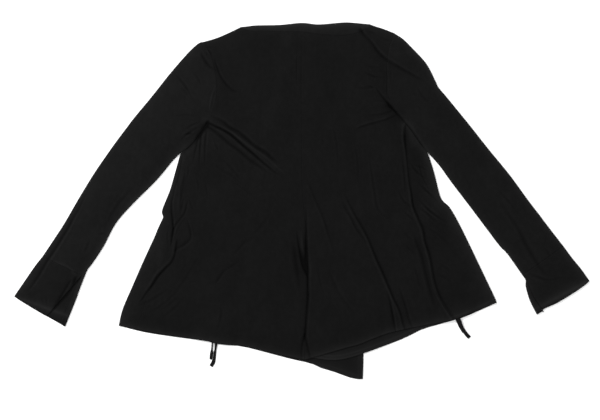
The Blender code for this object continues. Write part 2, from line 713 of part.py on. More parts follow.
def build():
    clear_scene()
    for side in ("left", "right"):
        add_back(side)
        add_front(side)
        add_sleeve(side)
        add_cuff(side)
    add_collar()
    for name in TIE_ROUTE:
        add_tie(name)


build()
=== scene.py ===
# %% [markdown]
# # A draped cardigan in black jersey, laid flat with its back up
#
# A cardigan lies on a white table, back up and sleeves out, seen from straight above.
# The cloth is a light, soft knit, so it keeps shallow creases where it was pulled
# straight, and it is all one near-black colour.  What shows its shape is the way the
# light grazes those creases.
#
# Each sewn piece is made here as a thin shell of cloth that follows the solid of the
# frame with the same name.  Plans are in millimetres and become metres in the mesh.

# %% Frame
import json
import math

import bpy
import numpy as np
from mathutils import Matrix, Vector

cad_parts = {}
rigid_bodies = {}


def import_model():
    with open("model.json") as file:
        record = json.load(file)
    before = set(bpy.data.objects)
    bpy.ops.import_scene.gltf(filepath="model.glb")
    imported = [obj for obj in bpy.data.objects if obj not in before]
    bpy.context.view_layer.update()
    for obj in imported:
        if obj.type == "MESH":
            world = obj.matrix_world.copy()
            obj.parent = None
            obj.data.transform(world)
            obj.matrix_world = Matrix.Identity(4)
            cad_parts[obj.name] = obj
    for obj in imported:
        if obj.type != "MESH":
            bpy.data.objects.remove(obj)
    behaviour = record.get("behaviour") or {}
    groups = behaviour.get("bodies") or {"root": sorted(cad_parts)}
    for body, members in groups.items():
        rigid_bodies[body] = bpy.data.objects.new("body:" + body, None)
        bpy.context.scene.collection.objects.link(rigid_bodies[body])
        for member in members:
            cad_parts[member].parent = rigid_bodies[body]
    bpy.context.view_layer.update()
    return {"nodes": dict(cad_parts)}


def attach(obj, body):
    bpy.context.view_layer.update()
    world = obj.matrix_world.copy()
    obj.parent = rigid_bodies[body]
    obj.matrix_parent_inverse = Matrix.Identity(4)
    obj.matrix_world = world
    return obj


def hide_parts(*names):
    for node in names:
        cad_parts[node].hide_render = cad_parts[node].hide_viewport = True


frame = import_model()
MM = 0.001
SIDES = ("left", "right")
print("nodes:", sorted(frame["nodes"]))

# %% [markdown]
# ## Camera
#
# The camera looks straight down from almost three metres, with the neck at the top of
# the picture.  One pixel of the photograph is two millimetres of cloth.  A wide lens
# would do from nearer, but it would see the cuffs from the side, so the lens is long.

# %% Camera
PHOTO_WIDTH = 600
MM_PER_PIXEL = 2.0
VIEW_CENTRE = (-5.0, -18.5)
CLOTH_HEIGHT = 3.0
LENS, SENSOR = 85.0, 36.0


def add_object(name, data):
    """An object with this data, put into the scene."""
    thing = bpy.data.objects.new(name, data)
    bpy.context.scene.collection.objects.link(thing)
    return thing


camera_data = bpy.data.cameras.new("camera")
camera_data.lens = LENS
camera_data.sensor_width = SENSOR
camera = add_object("camera", camera_data)
height = PHOTO_WIDTH * MM_PER_PIXEL * LENS / SENSOR
camera.location = (VIEW_CENTRE[0] * MM, VIEW_CENTRE[1] * MM, (height + CLOTH_HEIGHT) * MM)
bpy.context.scene.camera = camera
print("camera height %.2f m" % camera.location.z)

# %% [markdown]
# ## Ties
#
# Narrow drawstring ends of the same cloth come out under the hem, two at each side.
# A bevelled curve could make them, but it would be round like a cord, and these are
# strips cut from jersey.  So a flat section is carried along a smooth route: between the
# two layers of the hem, over the lower one's edge and down on to the table.

# %% Smooth curves
def curve_through(rows, steps=8):
    """Points on a smooth curve through the rows of a table."""
    knots = np.array(rows, float)
    first = 2 * knots[0] - knots[1]
    last = 2 * knots[-1] - knots[-2]
    knots = np.vstack([first, knots, last])
    share = np.linspace(0, 1, steps, endpoint=False)[:, None]
    points = []
    for a, b, c, d in zip(knots, knots[1:], knots[2:], knots[3:]):
        bend = 2 * a - 5 * b + 4 * c - d
        twist = 3 * b - a - 3 * c + d
        points.append(b + 0.5 * ((c - a) * share + bend * share**2 + twist * share**3))
    points.append(knots[-2:-1])
    return np.vstack(points)


print("points on a curve through 3 rows:", len(curve_through([(0, 0), (1, 1), (2, 0)])))

# %% Strips
TIE_THICKNESS = 1.3
TIE_STEPS = 6
# Columns: across the strip as a share of half its width, up as a share of half its thickness
STRIP_SECTION = [(-1.0, 0.0), (-0.9, 0.7), (-0.45, 1.0), (0.0, 0.8), (0.45, 1.0), (0.9, 0.7),
                 (1.0, 0.0), (0.9, -0.7), (0.45, -1.0), (0.0, -1.0), (-0.45, -1.0), (-0.9, -0.7)]


def unit(vectors):
    return vectors / np.linalg.norm(vectors, axis=-1, keepdims=True)


def add_strip(name, route):
    """A flat strip of cloth with rounded edges, cut square at both ends."""
    ahead = unit(np.gradient(route[:, :2], axis=0))
    aside = np.stack([-ahead[:, 1], ahead[:, 0], np.zeros(len(route))], axis=-1)
    across, level = np.array(STRIP_SECTION).T
    ring = aside[:, None] * across[None, :, None] * route[:, None, 3:4] / 2
    ring[..., 2] += level * TIE_THICKNESS / 2
    points = (route[:, None, :3] + ring).reshape(-1, 3)
    sides = len(STRIP_SECTION)
    last = (len(route) - 1) * sides
    faces = [list(range(sides))]
    for low in range(0, last, sides):
        for step in range(sides):
            after = (step + 1) % sides
            faces.append([low + step, low + sides + step, low + sides + after, low + after])
    faces.append(list(range(last, last + sides))[::-1])
    mesh = bpy.data.meshes.new(name)
    mesh.from_pydata((points * MM).tolist(), [], faces)
    mesh.polygons.foreach_set("use_smooth", [len(face) == 4 for face in faces])
    return add_object(name, mesh)


print("points round a strip:", len(STRIP_SECTION))

# %% Ties
# Columns: x, y, z of the middle of the strip, its width
TIE_ROUTE = {
    "tie_left_short": [
        (-179.8, -258, 2.2, 5.0), (-180, -270, 2.2, 4.6), (-180.2, -282, 2.2, 3.4),
        (-180.8, -290, 1.9, 2.8), (-181.2, -297, 1.1, 3.6), (-181.9, -304, 0.7, 6.0),
        (-182.5, -311, 0.7, 6.6), (-183.2, -317.6, 0.7, 5.6)],
    "tie_left_long": [
        (-171.6, -258, 2.2, 6.0), (-172, -270, 2.2, 6.0), (-172.6, -283, 2.2, 6.0),
        (-173.4, -291, 1.8, 4.8), (-174.2, -298, 1.1, 4.4), (-175.4, -304, 0.7, 5.8),
        (-175.8, -311, 0.7, 5.6), (-176.5, -316, 0.7, 5.6), (-178, -321.5, 0.7, 7.4),
        (-180.2, -326.5, 0.7, 7.6), (-183.4, -331.2, 0.7, 7.4)],
    "tie_right_short": [
        (301, -219.5, 2.2, 6.4), (305.4, -228.6, 2.2, 6.6), (309.8, -237.7, 2.2, 7.0),
        (312.8, -244, 1.5, 7.0), (315.6, -250.3, 0.8, 7.0), (319, -256.5, 0.7, 6.6),
        (323, -263, 0.7, 6.2)],
    "tie_right_long": [
        (304.4, -218.8, 3.8, 6.8), (308.7, -228, 3.8, 7.0), (313, -237.3, 3.8, 7.2),
        (316, -245.8, 3.1, 7.2), (319.2, -254, 2.35, 7.2), (324.4, -262.5, 2.3, 7.2),
        (329.6, -269, 1.6, 7.3), (334.6, -274, 1.0, 7.4)],
}
ties = []
for name, table in TIE_ROUTE.items():
    route = curve_through(table, TIE_STEPS)
    tie = add_strip(name + "_cloth", route)
    middle = route[:, :3]
    length = float(np.linalg.norm(np.diff(middle, axis=0), axis=1).sum() * MM)
    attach(tie, "root")
    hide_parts(name)
    ties.append(tie)
    print(name, "length %.3f m" % length)

# %% [markdown]
# ## Cutting lines
#
# The tables are the outlines of the pattern pieces as they lie on the table, read to
# the nearest few millimetres.  X runs across the back and Y from hem to neck.
# The lines could be drawn as curves in the viewport.  They are tables here, because the
# same lines make the solids of the frame, and each shell then lies on its solid.

# %% Lines of the back
ARMHOLE = {
    "left": [(-197, 318), (-181, 286), (-173, 250), (-171, 218), (-177, 188), (-191, 158)],
    "right": [(184, 335), (173, 302), (169, 266), (169, 226), (179, 194), (206, 156)],
}
SIDE_SEAM = {
    "left": [
        (-191, 158), (-205, 122), (-231, 90), (-246, 58), (-252, 22), (-258, -28), (-261, -78),
        (-283, -134), (-308, -186), (-331, -257)],
    "right": [
        (206, 156), (207, 126), (211, 98), (215, 62), (219, 12), (225, -24), (241, -68),
        (255, -122), (263, -174), (277, -202), (301, -238)],
}
SIDE_FOLD = {
    "left": [
        (-191, 158), (-195, 151), (-204, 136), (-218, 117), (-231, 104), (-243, 96), (-253.5, 62),
        (-265, 22), (-281, -19), (-279, -32), (-283, -42), (-290, -57), (-297, -74), (-319, -122),
        (-340, -170), (-360, -217), (-368, -250)],
    "right": [
        (206, 156), (210, 151), (215, 145), (227, 128), (239, 111), (242, 107), (250, 97),
        (263, 58), (272, 22), (279, 2), (295, -14), (315, -49), (339, -98), (362, -146),
        (384, -192), (389, -204)],
}
CENTRE_BACK = [(-2, 338), (-2, 250), (-2, 162), (-1, 42), (3, -18), (10, -78), (10, -142),
               (9, -198), (4, -280), (5, -318)]
SHOULDER = {
    "left": [(-197, 318), (-173, 325), (-149, 335), (-124, 347)],
    "right": [(184, 335), (161, 344), (148, 348), (137, 352)],
}
NECKLINE = {
    "left": [(-122, 345.5), (-101, 340), (-77, 340), (-35, 338), (-2, 338)],
    "right": [(134, 349.5), (123, 342), (105, 334), (75, 330), (35, 333), (-2, 338)],
}
COLLAR_FOLD = [(-126, 347.5), (-110, 349), (-93, 351), (-45, 352), (-2, 356), (30, 353),
               (60, 355), (87, 357), (115, 355), (136, 353)]
BACK_HEM = {
    "left": [
        (-331, -257), (-257, -271), (-193, -279), (-170, -284), (-140, -288), (-113, -291),
        (-49, -307), (5, -318)],
    "right": [
        (301, -238), (255, -247), (219, -254), (175, -264), (145, -274), (113, -287), (87, -294),
        (39, -308), (5, -318)],
}
print("rows of the side seams:", [len(SIDE_SEAM[side]) for side in SIDES])

# %% Lines of the fronts
FRONT_EDGE = {
    "left": [
        (-127, 345), (-66, 296), (-2, 254), (11, 222), (51, 122), (85, 2), (107, -118),
        (118, -238), (122, -304), (121, -357)],
    "right": [
        (138, 351), (96, 314), (52, 284), (-2, 254), (-11, 222), (-35, 122), (-57, 2),
        (-73, -118), (-81, -198), (-81, -284)],
}
FRONT_HEM = {
    "left": [
        (-368, -250), (-305, -265), (-193, -281), (-170, -287), (-140, -290), (-113, -293),
        (-25, -316), (15, -325), (38, -335), (62, -342), (95, -354), (110, -357), (121, -357)],
    "right": [
        (389, -204), (351, -221), (320, -234), (271, -248), (239, -257.5), (206, -274),
        (176, -286), (122, -305.5), (91, -315), (65, -319), (31, -316), (-25, -303), (-81, -284)],
}
print("rows of the fronts' hems:", [len(FRONT_HEM[side]) for side in SIDES])

# %% Lines of the sleeves and cuffs
# Columns: x and y of the outer fold, x and y of the inner fold, share of the armhole's curve
SLEEVE = {
    "left": [(-197, 318, -191, 158, 1.00),
             (-208, 315, -195, 151, 0.93),
             (-229, 296, -204, 136, 0.80),
             (-264, 256, -218, 117, 0.50),
             (-299, 212, -231, 104, 0.25),
             (-337, 166, -243, 96, 0.10),
             (-353, 145, -260, 79.5, 0.06),
             (-379, 110, -291, 42, 0.00),
             (-415, 58, -339, -6, 0.00),
             (-447, 6, -373, -45, 0.00),
             (-476, -44, -398, -91.5, 0.00),
             (-500, -81, -420, -125, 0.00),
             (-510, -96, -430, -138, 0.00),
             (-520, -111, -436, -152, 0.00)],
    "right": [(184, 335, 206, 156, 1.00),
              (200, 324.5, 210, 151, 0.91),
              (215, 310, 215, 145, 0.80),
              (247, 275, 227, 128, 0.50),
              (266, 239, 239, 111, 0.25),
              (271.5, 227.5, 242, 107, 0.20),
              (292, 203, 250, 97, 0.10),
              (332, 154, 274.5, 69.5, 0.00),
              (374, 101, 297.5, 37.5, 0.00),
              (415, 51, 336, -13, 0.00),
              (450, 3, 372, -61, 0.00),
              (473, -27, 394.5, -90.5, 0.00),
              (488, -47, 411, -108, 0.00),
              (522, -91, 440, -149, 0.00)],
}
# Columns: x and y of the outer fold, x and y of the inner fold, where the slit opens on the
# back of the cuff and where it ends, both as a share of the way from outer to inner fold,
# how far the row bows out beyond its ends, how far the tongue past the slit reaches out,
# and how far the flap draws back beside the slit
CUFF = {
    "left": [(-520, -111, -436, -152, 0.925, 0.940, 0, 0, 0),
             (-535, -130, -445, -175, 0.860, 0.925, 0, 0, 0),
             (-553, -156, -454, -200, 0.770, 0.915, 0, 0, 0),
             (-577, -191, -475, -252, 0.640, 0.900, 1.5, 0, 0)],
    "right": [(522, -91, 440, -149, 0.955, 0.968, 0, 0, 0),
              (528, -99, 446.5, -159, 0.947, 0.960, 0, 0, 0),
              (539, -114, 447, -173, 0.930, 0.944, 0, 0, 0),
              (557, -136, 455, -200, 0.902, 0.916, 1, 1, 1),
              (574, -160, 469, -228, 0.868, 0.882, 3.5, 3, 3)],
}
print("rows of the sleeves:", [len(SLEEVE[side]) for side in SIDES])

# %% Smooth lines
WAY_SHARE = 0.01


class Line:
    """A smooth line in the plan, read by the share of its length or by x."""

    def __init__(self, rows):
        self.points = curve_through(rows)
        steps = np.linalg.norm(np.diff(self.points[:, :2], axis=0), axis=1)
        self.share = np.concatenate([[0.0], np.cumsum(steps)]) / steps.sum()

    def at(self, share):
        columns = [np.interp(share, self.share, column) for column in self.points.T]
        return np.stack(columns, axis=-1)

    def y_at(self, x):
        order = np.argsort(self.points[:, 0])
        return np.interp(x, self.points[order, 0], self.points[order, 1])

    def left_of(self, share):
        """Unit vectors to the left of the way along the line."""
        ahead = self.at(np.clip(share + WAY_SHARE, WAY_SHARE, 1.0))
        behind = self.at(np.clip(share - WAY_SHARE, 0.0, 1.0 - WAY_SHARE))
        along = unit(ahead - behind)
        return np.stack([-along[..., 1], along[..., 0]], axis=-1)


TABLES = {"armhole": ARMHOLE, "seam": SIDE_SEAM, "fold": SIDE_FOLD, "shoulder": SHOULDER,
          "neckline": NECKLINE, "back_hem": BACK_HEM, "front_edge": FRONT_EDGE,
          "front_hem": FRONT_HEM, "sleeve": SLEEVE, "cuff": CUFF}
LINES = {name: {side: Line(table[side]) for side in SIDES} for name, table in TABLES.items()}
CENTRE_LINE = Line(CENTRE_BACK)
COLLAR_LINE = Line(COLLAR_FOLD)
print("lines:", ", ".join(LINES))

# %% [markdown]
# ## How high the cloth lies
#
# Two layers of jersey lie on each other.  The lower one rests on the table.  The upper
# one is pressed to it at every fold and hem, and is a few millimetres loose in between.
# Where the right front lies over the left front there are three layers, and at the
# ties' roots the cords hold the layers apart.
#
# A cloth simulation could drop the layers on the table, but the creases would then fall
# anywhere.  One height formula for the whole upper layer puts each crease where it is on
# the real garment, and pieces that meet at a seam get the same height along it.

# %% Layers
WALL = 1.0
LOW_Z = 0.6
EDGE_Z = 2.2
LAYER = 1.5
TURN_RADIUS = (EDGE_Z - LOW_Z) / 2
TURN_REACH = TURN_RADIUS + WALL / 2
LOFT = 3.4
LOFT_WIDTH = 22.0
FOLD_FADE = 7.0
TIE_LIFT = 3.4
TIE_ROOTS = [(-176, -272), (307, -224)]
OVERLAP_HOLD = 26.0
OVERLAP_END = 50.0


def smoothstep(value):
    value = np.clip(value, 0.0, 1.0)
    return value * value * (3.0 - 2.0 * value)


def held_up(distance):
    """1 on the lower layer and near it, falling to 0 farther off."""
    return 1.0 - smoothstep((distance - OVERLAP_HOLD) / (OVERLAP_END - OVERLAP_HOLD))


print("an edge of the upper layer lies %.1f mm up" % EDGE_Z)

# %% Distance to a line
PLACES_AT_ONCE = 3000


def nearest(places, path):
    """Distance to a path, its side (1 on the left) and the share of the way along it."""
    start = path[:-1]
    step = np.diff(path, axis=0)
    length2 = (step**2).sum(axis=1)
    travelled = np.concatenate([[0.0], np.cumsum(np.sqrt(length2))])
    distance = np.empty(len(places))
    side = np.empty(len(places))
    share = np.empty(len(places))
    for low in range(0, len(places), PLACES_AT_ONCE):
        part = slice(low, low + PLACES_AT_ONCE)
        offset = places[part, None, :] - start[None]
        along = np.clip((offset * step).sum(axis=2) / length2, 0.0, 1.0)
        away = offset - along[..., None] * step
        gap = np.linalg.norm(away, axis=2)
        best = gap.argmin(axis=1)
        pick = np.arange(len(best))
        turn = step[best, 0] * away[pick, best, 1] - step[best, 1] * away[pick, best, 0]
        distance[part] = gap[pick, best]
        side[part] = np.where(turn >= 0, 1.0, -1.0)
        way = travelled[best] + along[pick, best] * np.sqrt(length2[best])
        share[part] = way / travelled[-1]
    return distance, side, share


def beside(places, path, reach):
    """Which places lie in the box of a path, widened by reach."""
    low, high = path.min(axis=0) - reach, path.max(axis=0) + reach
    return np.all((places > low) & (places < high), axis=1)


origin_gap = nearest(np.zeros((1, 2)), CENTRE_LINE.points)[0][0]
print("the origin lies %.1f mm from the centre back" % origin_gap)

# %% Outline
SAME_PLACE = 0.01


def upper_outline():
    """The closed edge of the upper layer: neck, sleeves, sides and back hem."""
    run = []
    for side in SIDES:
        sleeve = LINES["sleeve"][side].points
        cuff = LINES["cuff"][side].points
        half = [LINES["shoulder"][side].points[::-1], sleeve[:, :2], cuff[:, :2],
                cuff[::-1, 2:4], sleeve[::-1, 2:4], LINES["fold"][side].points,
                LINES["back_hem"][side].points]
        run.append(np.vstack(half))
    closed = np.vstack([run[0], run[1][::-1], COLLAR_LINE.points[::-1]])
    closed = np.vstack([closed, closed[:1]])
    moved = np.linalg.norm(np.diff(closed, axis=0), axis=1) > SAME_PLACE
    return closed[np.concatenate([moved, [True]])]


OUTLINE = upper_outline()
print("outline points:", len(OUTLINE))

# %% Where the fronts lie
def off_panel(places, side):
    """How far each place is from the ground that a front panel covers, past its free edge."""
    distance, turn, _ = nearest(places, LINES["front_edge"][side].points)
    covered = turn < 0 if side == "left" else turn > 0
    return np.where(covered, 0.0, distance)


def front_lift(places):
    """How far the right front is raised by the left front under it."""
    return LAYER * held_up(off_panel(places, "left"))


print("lift at the centre of the hem: %.1f mm" % front_lift(np.array([[5.0, -318.0]]))[0])

# %% [markdown]
# ## Creases
#
# A crease in laid jersey is a narrow furrow with a soft roll of cloth beside it.  It
# could be painted as bump, but then low light and a view from the side would show a flat
# sheet, so each crease moves the cloth itself.
#
# Each entry below is one long crease, drawn with its depth at every point, so
# that it opens, narrows and fades where the cloth does.  A minus depth is a ridge.  The
# roll lies to the left of the way the line runs for 1, to the right for -1, and on both
# sides for 0.

# %% Creases of the centre back
# Each crease: half width, height of the roll, its side, then x, y and depth at each point
# Here: the pleat that opens down the centre back, and its companions
CREASES = {
    "centre_pleat": (3.0, 0.8, 1, [
        (7, -8, 0), (8, -34, 0.9), (7.4, -60, 1.5), (7.4, -80, 2.4), (8, -100, 2.8),
        (8.6, -120, 3.0), (9.6, -138, 3.2), (10.6, -150, 2.2), (11, -170, 2.0), (11.4, -191, 2.1),
        (9.4, -222, 1.8), (6.4, -260, 2.0), (6, -274, 2.0), (8.8, -286, 1.6), (13, -303, 1.4),
        (16, -326, 1.0)]),
    "centre_lobe": (2.6, 0.5, -1, [
        (-11, -58, 0), (-10, -70, 0.9), (-6, -96, 1.7), (-2, -116, 2.3), (2, -130, 2.8),
        (7.6, -144, 2.2), (10, -152, 0)]),
    "centre_fork": (2.2, 0.3, 1, [
        (5, -262, 0), (3, -274, 1.5), (0, -288, 1.4), (-1.6, -300, 1.3), (-3, -326, 0.9)]),
    "beside_pleat": (4.6, 0.3, -1, [
        (-18, -84, 0), (-16, -98, 0.8), (-13, -122, 1.1), (-7, -158, 0.8), (-2, -186, 0)]),
    "pleat_ridge": (2.6, 0.0, 0, [
        (-2, -60, 0), (-1, -76, -0.9), (0, -92, -1.2), (3, -106, -0.8), (4, -114, 0)]),
}
print("creases:", len(CREASES))

# %% Creases of the left underarm
# Long creases from the left underarm across the back
CREASES.update({
    "underarm_left_upper": (2.9, 0.5, 1, [
        (-186, 170, 0), (-175, 165, 0.9), (-157, 156, 1.5), (-145, 146, 1.6), (-127, 136, 1.6),
        (-110, 122.5, 1.7), (-95, 109, 1.6), (-75, 97, 1.7), (-60, 84, 1.3), (-46, 74, 0)]),
    "underarm_left_middle": (2.3, 0.8, 0, [
        (-191, 157, 2.6), (-175, 149, 2.4), (-160, 142, 2.4), (-142, 131, 2.6), (-127, 118, 2.5),
        (-112, 105, 2.4), (-97, 92.5, 2.2), (-82, 79, 1.9), (-70, 69, 1.6), (-55, 57, 1.0),
        (-38, 46, 0)]),
    "underarm_left_ridge": (2.4, 0.0, 0, [
        (-164, 149, 0), (-146, 139, -0.8), (-130, 128, -1.2), (-100, 106, -1.4), (-75, 88, -1.2),
        (-47, 64, -0.9), (-30, 49, 0)]),
    "underarm_left_lower": (2.9, 0.3, 0, [
        (-191, 150, 1.6), (-175, 138, 1.4), (-160, 126, 1.4), (-145, 113, 1.4), (-127, 100, 1.5),
        (-110, 85.5, 1.4), (-95, 74, 1.2), (-80, 64, 0.9), (-60, 49, 0)]),
    "underarm_left_drop": (2.0, 0.5, 0, [
        (-199, 146, 1.6), (-203, 132, 1.5), (-204, 116, 1.3), (-205, 94, 0.9), (-206, 76, 0.4),
        (-206, 64, 0)]),
    "underarm_left_drop_inner": (2.0, 0.4, 0, [
        (-192, 138, 0.6), (-194, 118, 0.9), (-195, 90, 0.6), (-195, 70, 0)]),
    "crevice_left": (3.6, 0.0, 0, [
        (-186, 163, 0), (-191, 157, 3.6), (-197.5, 148, 3.4), (-205, 137, 3.4), (-212, 126, 3.3),
        (-218, 117, 3.0), (-230, 105, 2.6), (-242, 97, 1.8), (-252, 90, 0)]),
    "crevice_left_inner": (2.4, 0.3, 0, [
        (-190, 150, 2.0), (-200, 137, 2.2), (-209, 124, 2.2), (-212, 112, 1.5), (-216, 88, 0.6),
        (-217, 78, 0)]),
})
print("creases:", len(CREASES))

# %% Creases of the left side
CREASES.update({
    "side_left_upper": (2.1, 0.7, 1, [
        (-239, 92, 0), (-241, 85, 0.7), (-245, 64, 1.1), (-249, 44, 1.1), (-254, 30, 0.8),
        (-259, 8, 1.0), (-261.5, -2, 1.4), (-261.5, -21, 1.7), (-259.5, -41, 1.8),
        (-258.4, -58, 2.0), (-261, -76, 1.4), (-263, -98, 0)]),
    "side_left_branch": (2.0, 0.5, 0, [
        (-229, -1, 0), (-231, -8, 0.7), (-235, -24, 0.9), (-245, -38, 1.2), (-254, -50, 1.3),
        (-258, -60, 0.8)]),
    "side_left_loop": (2.1, 0.6, 1, [
        (-230, -38, 0), (-227.8, -47, 0.6), (-223.6, -61, 0.9), (-223.6, -76, 0.9),
        (-231, -84, 1.4), (-239, -90, 1.4), (-251, -96, 1.0), (-256, -107, 0)]),
    "side_left_low": (2.8, 0.9, -1, [
        (-250, -76, 0), (-251, -84, 1.2), (-253, -98, 1.5), (-255, -110, 1.4), (-262, -124, 1.6),
        (-274, -136, 2.1), (-288, -151, 2.4), (-299, -168, 2.1), (-311, -184, 1.3),
        (-319, -196, 0.7), (-328, -208, 0)]),
    "side_left_inner": (2.4, 0.5, -1, [
        (-234, 70, 0), (-236, 44, 0.6), (-241, 12, 0.7), (-244, -12, 0.4), (-246, -26, 0)]),
    "belly_low": (2.2, 0.3, 1, [
        (-122, -117, 0), (-128, -121, 0.6), (-145, -133, 0.8), (-156, -141, 0.8),
        (-168, -157, 1.1), (-174, -166, 0)]),
    "belly_high": (2.2, 0.3, 1, [
        (-92, -70, 0), (-104, -78, 0.5), (-116, -84, 0.7), (-128, -98, 0.6), (-141, -112, 0)]),
})
print("creases:", len(CREASES))

# %% Creases of the right of the back
# Long diagonals on the right of the back
CREASES.update({
    "diagonal_long": (2.3, 1.1, -1, [
        (84, 14, 0), (94, -7, 1.0), (106, -30, 1.4), (118, -50, 1.6), (129, -70, 1.7),
        (139, -93, 1.6), (149, -118, 1.8), (161, -144, 1.9), (172, -170, 1.8), (183, -196, 1.6),
        (192, -214, 1.6), (198, -232, 1.5), (204, -256, 1.3), (207, -268, 1.1)]),
    "diagonal_twin": (1.9, 0.5, -1, [
        (79, -2, 0), (86, -16, 0.9), (98, -36, 1.1), (109, -58, 1.1), (124, -78, 0.7),
        (132, -90, 0)]),
    "hem_pleat_inner": (2.0, 0.9, 1, [
        (167, -176, 0), (173, -192, 0.9), (177, -210, 1.6), (181, -231, 1.9), (185, -256, 1.6),
        (187, -272, 1.2)]),
    "hem_pleat_outer": (2.1, 0.4, 1, [
        (193, -172, 0), (198, -187, 0.8), (205, -207, 1.1), (209, -222, 1.2), (213, -237, 1.1),
        (218, -250, 0.9), (222, -262, 0.7)]),
    "diagonal_inner": (2.3, 0.4, -1, [
        (10, 38, 0), (16, 27, 0.5), (29, -4, 0.7), (43, -36, 0.8), (52, -66, 0.6), (60, -92, 0.4),
        (66, -112, 0)]),
    "low_inner": (2.4, 0.3, 1, [
        (51, -134, 0), (58, -152, 0.5), (75, -188, 0.5), (95, -214, 0.4), (117, -237, 0)]),
    "shoulder_blade": (2.4, 0.3, 0, [
        (133, 92, 0), (138, 60, 0.4), (145, 16, 0.5), (152, -18, 0.5), (178, -40, 0)]),
})
print("creases:", len(CREASES))

# %% Creases of the right side
CREASES.update({
    "side_right": (2.5, 1.1, -1, [
        (206, 150, 1.5), (205, 128, 1.9), (208, 98, 1.3), (211, 70, 1.0), (214, 40, 1.1),
        (218, 16, 1.4), (222, -10, 1.7), (231, -33, 1.8), (241, -56, 1.9), (246, -81, 1.8),
        (254, -107, 2.0), (259, -130, 1.8), (264, -158, 1.7), (272, -184, 1.8), (284, -207, 1.9),
        (299, -231, 1.6), (307, -246, 1.3)]),
    "side_right_second": (4.0, 0.4, -1, [
        (223, -66, 0), (229, -84, 0.8), (239, -110, 1.2), (246, -141, 1.3), (255, -176, 1.1),
        (261, -198, 0.7), (267, -214, 0)]),
})
print("creases:", len(CREASES))

# %% Creases of the right underarm
# The right underarm, where the sleeve lies over the body
CREASES.update({
    "crevice_right": (2.5, 0.5, 1, [
        (147, 228, 0), (151, 220, 0.8), (158, 210, 1.3), (168, 198, 1.8), (175, 189, 2.7),
        (181, 183, 2.2), (193, 170, 2.0), (208, 153, 2.3), (215, 145, 2.4), (227, 128, 2.3),
        (239, 111, 1.9), (250, 97, 1.1), (256, 88, 0)]),
    "underarm_right_lower": (2.0, 0.8, 1, [
        (108, 143, 0), (116, 147, 0.9), (133, 152, 1.0), (150, 157, 0.8), (168, 162, 0.9),
        (184, 170, 0.7), (190, 173, 0)]),
    "underarm_right_upper": (2.0, 0.4, 1, [
        (128, 169, 0), (140, 171, 0.5), (160, 173, 0.7), (176, 179, 0.9), (184, 183, 0)]),
})
print("creases:", len(CREASES))

# %% Creases of the shoulders
CREASES.update({
    "shoulder_right": (2.4, 1.0, 1, [
        (112, 345, 0), (117, 341, 1.9), (125, 330, 1.3), (139, 315, 1.4), (151, 298, 1.7),
        (163, 286, 1.8), (175, 277, 1.7), (190, 269, 1.6), (205, 260, 1.5), (220, 252, 1.3),
        (233, 245, 0.8), (244, 240, 0)]),
    "shoulder_left": (2.4, 0.4, 0, [
        (-204, 298, 0), (-200, 289, 1.1), (-188, 271, 1.3), (-176, 262, 0.6), (-167, 257, 0)]),
    "shoulder_left_long": (2.1, 0.4, 1, [
        (-175, 284, 0), (-172, 271, 0.9), (-163, 248, 1.2), (-150, 230, 1.4), (-137, 219, 1.0),
        (-124, 219, 0)]),
})
print("creases:", len(CREASES))

# %% Creases of the sleeves and cuffs
CREASES.update({
    "sleeve_left_edge": (2.5, 0.8, 1, [
        (-424, 32, 0), (-440, -2, 0.6), (-449, -20, 0.9), (-457.5, -34, 1.3), (-467, -52, 1.6),
        (-482, -77, 1.8), (-497, -101, 1.8), (-511, -121, 1.8), (-527, -150, 1.4),
        (-541, -171, 0.9), (-549, -182, 0)]),
    "cuff_left_flap": (2.2, 0.4, 1, [
        (-462, -158, 0), (-467, -166, 1.2), (-480, -188, 1.3), (-491, -206, 1.2),
        (-502, -224, 0.8), (-506, -232, 0)]),
    "cuff_left_seam": (1.8, 0.0, 0, [
        (-504, -117, 0), (-490, -124, -0.9), (-473, -130, -1.1), (-462, -137, -1.1),
        (-455, -146, -1.1), (-451, -155, 0)]),
    "cuff_left_tongue": (2.4, 0.4, -1, [
        (-451, -150, 0), (-455, -158, 2.6), (-458, -168, 1.9), (-462, -178, 1.3),
        (-469, -198, 1.1), (-474, -218, 1.0), (-477, -238, 0.6), (-478, -250, 0)]),
    "sleeve_right_bend": (4.0, 0.3, 0, [
        (393, 2, 0), (410, -25, 0.5), (430, -54, 0.7), (446, -85, 0.9), (461, -112, 1.0),
        (471, -128, 0.8), (482, -143, 0.5), (489, -152, 0)]),
})
print("creases:", len(CREASES))

# %% [markdown]
# ## Wrinkles and hollows
#
# Between the long creases lie short shallow ones, which fan out from the underarms, the
# hem and the cuffs.  One is fully given by its two ends, its depth and how far it bows,
# so a row of a table draws it.  Broad soft dents are ovals.

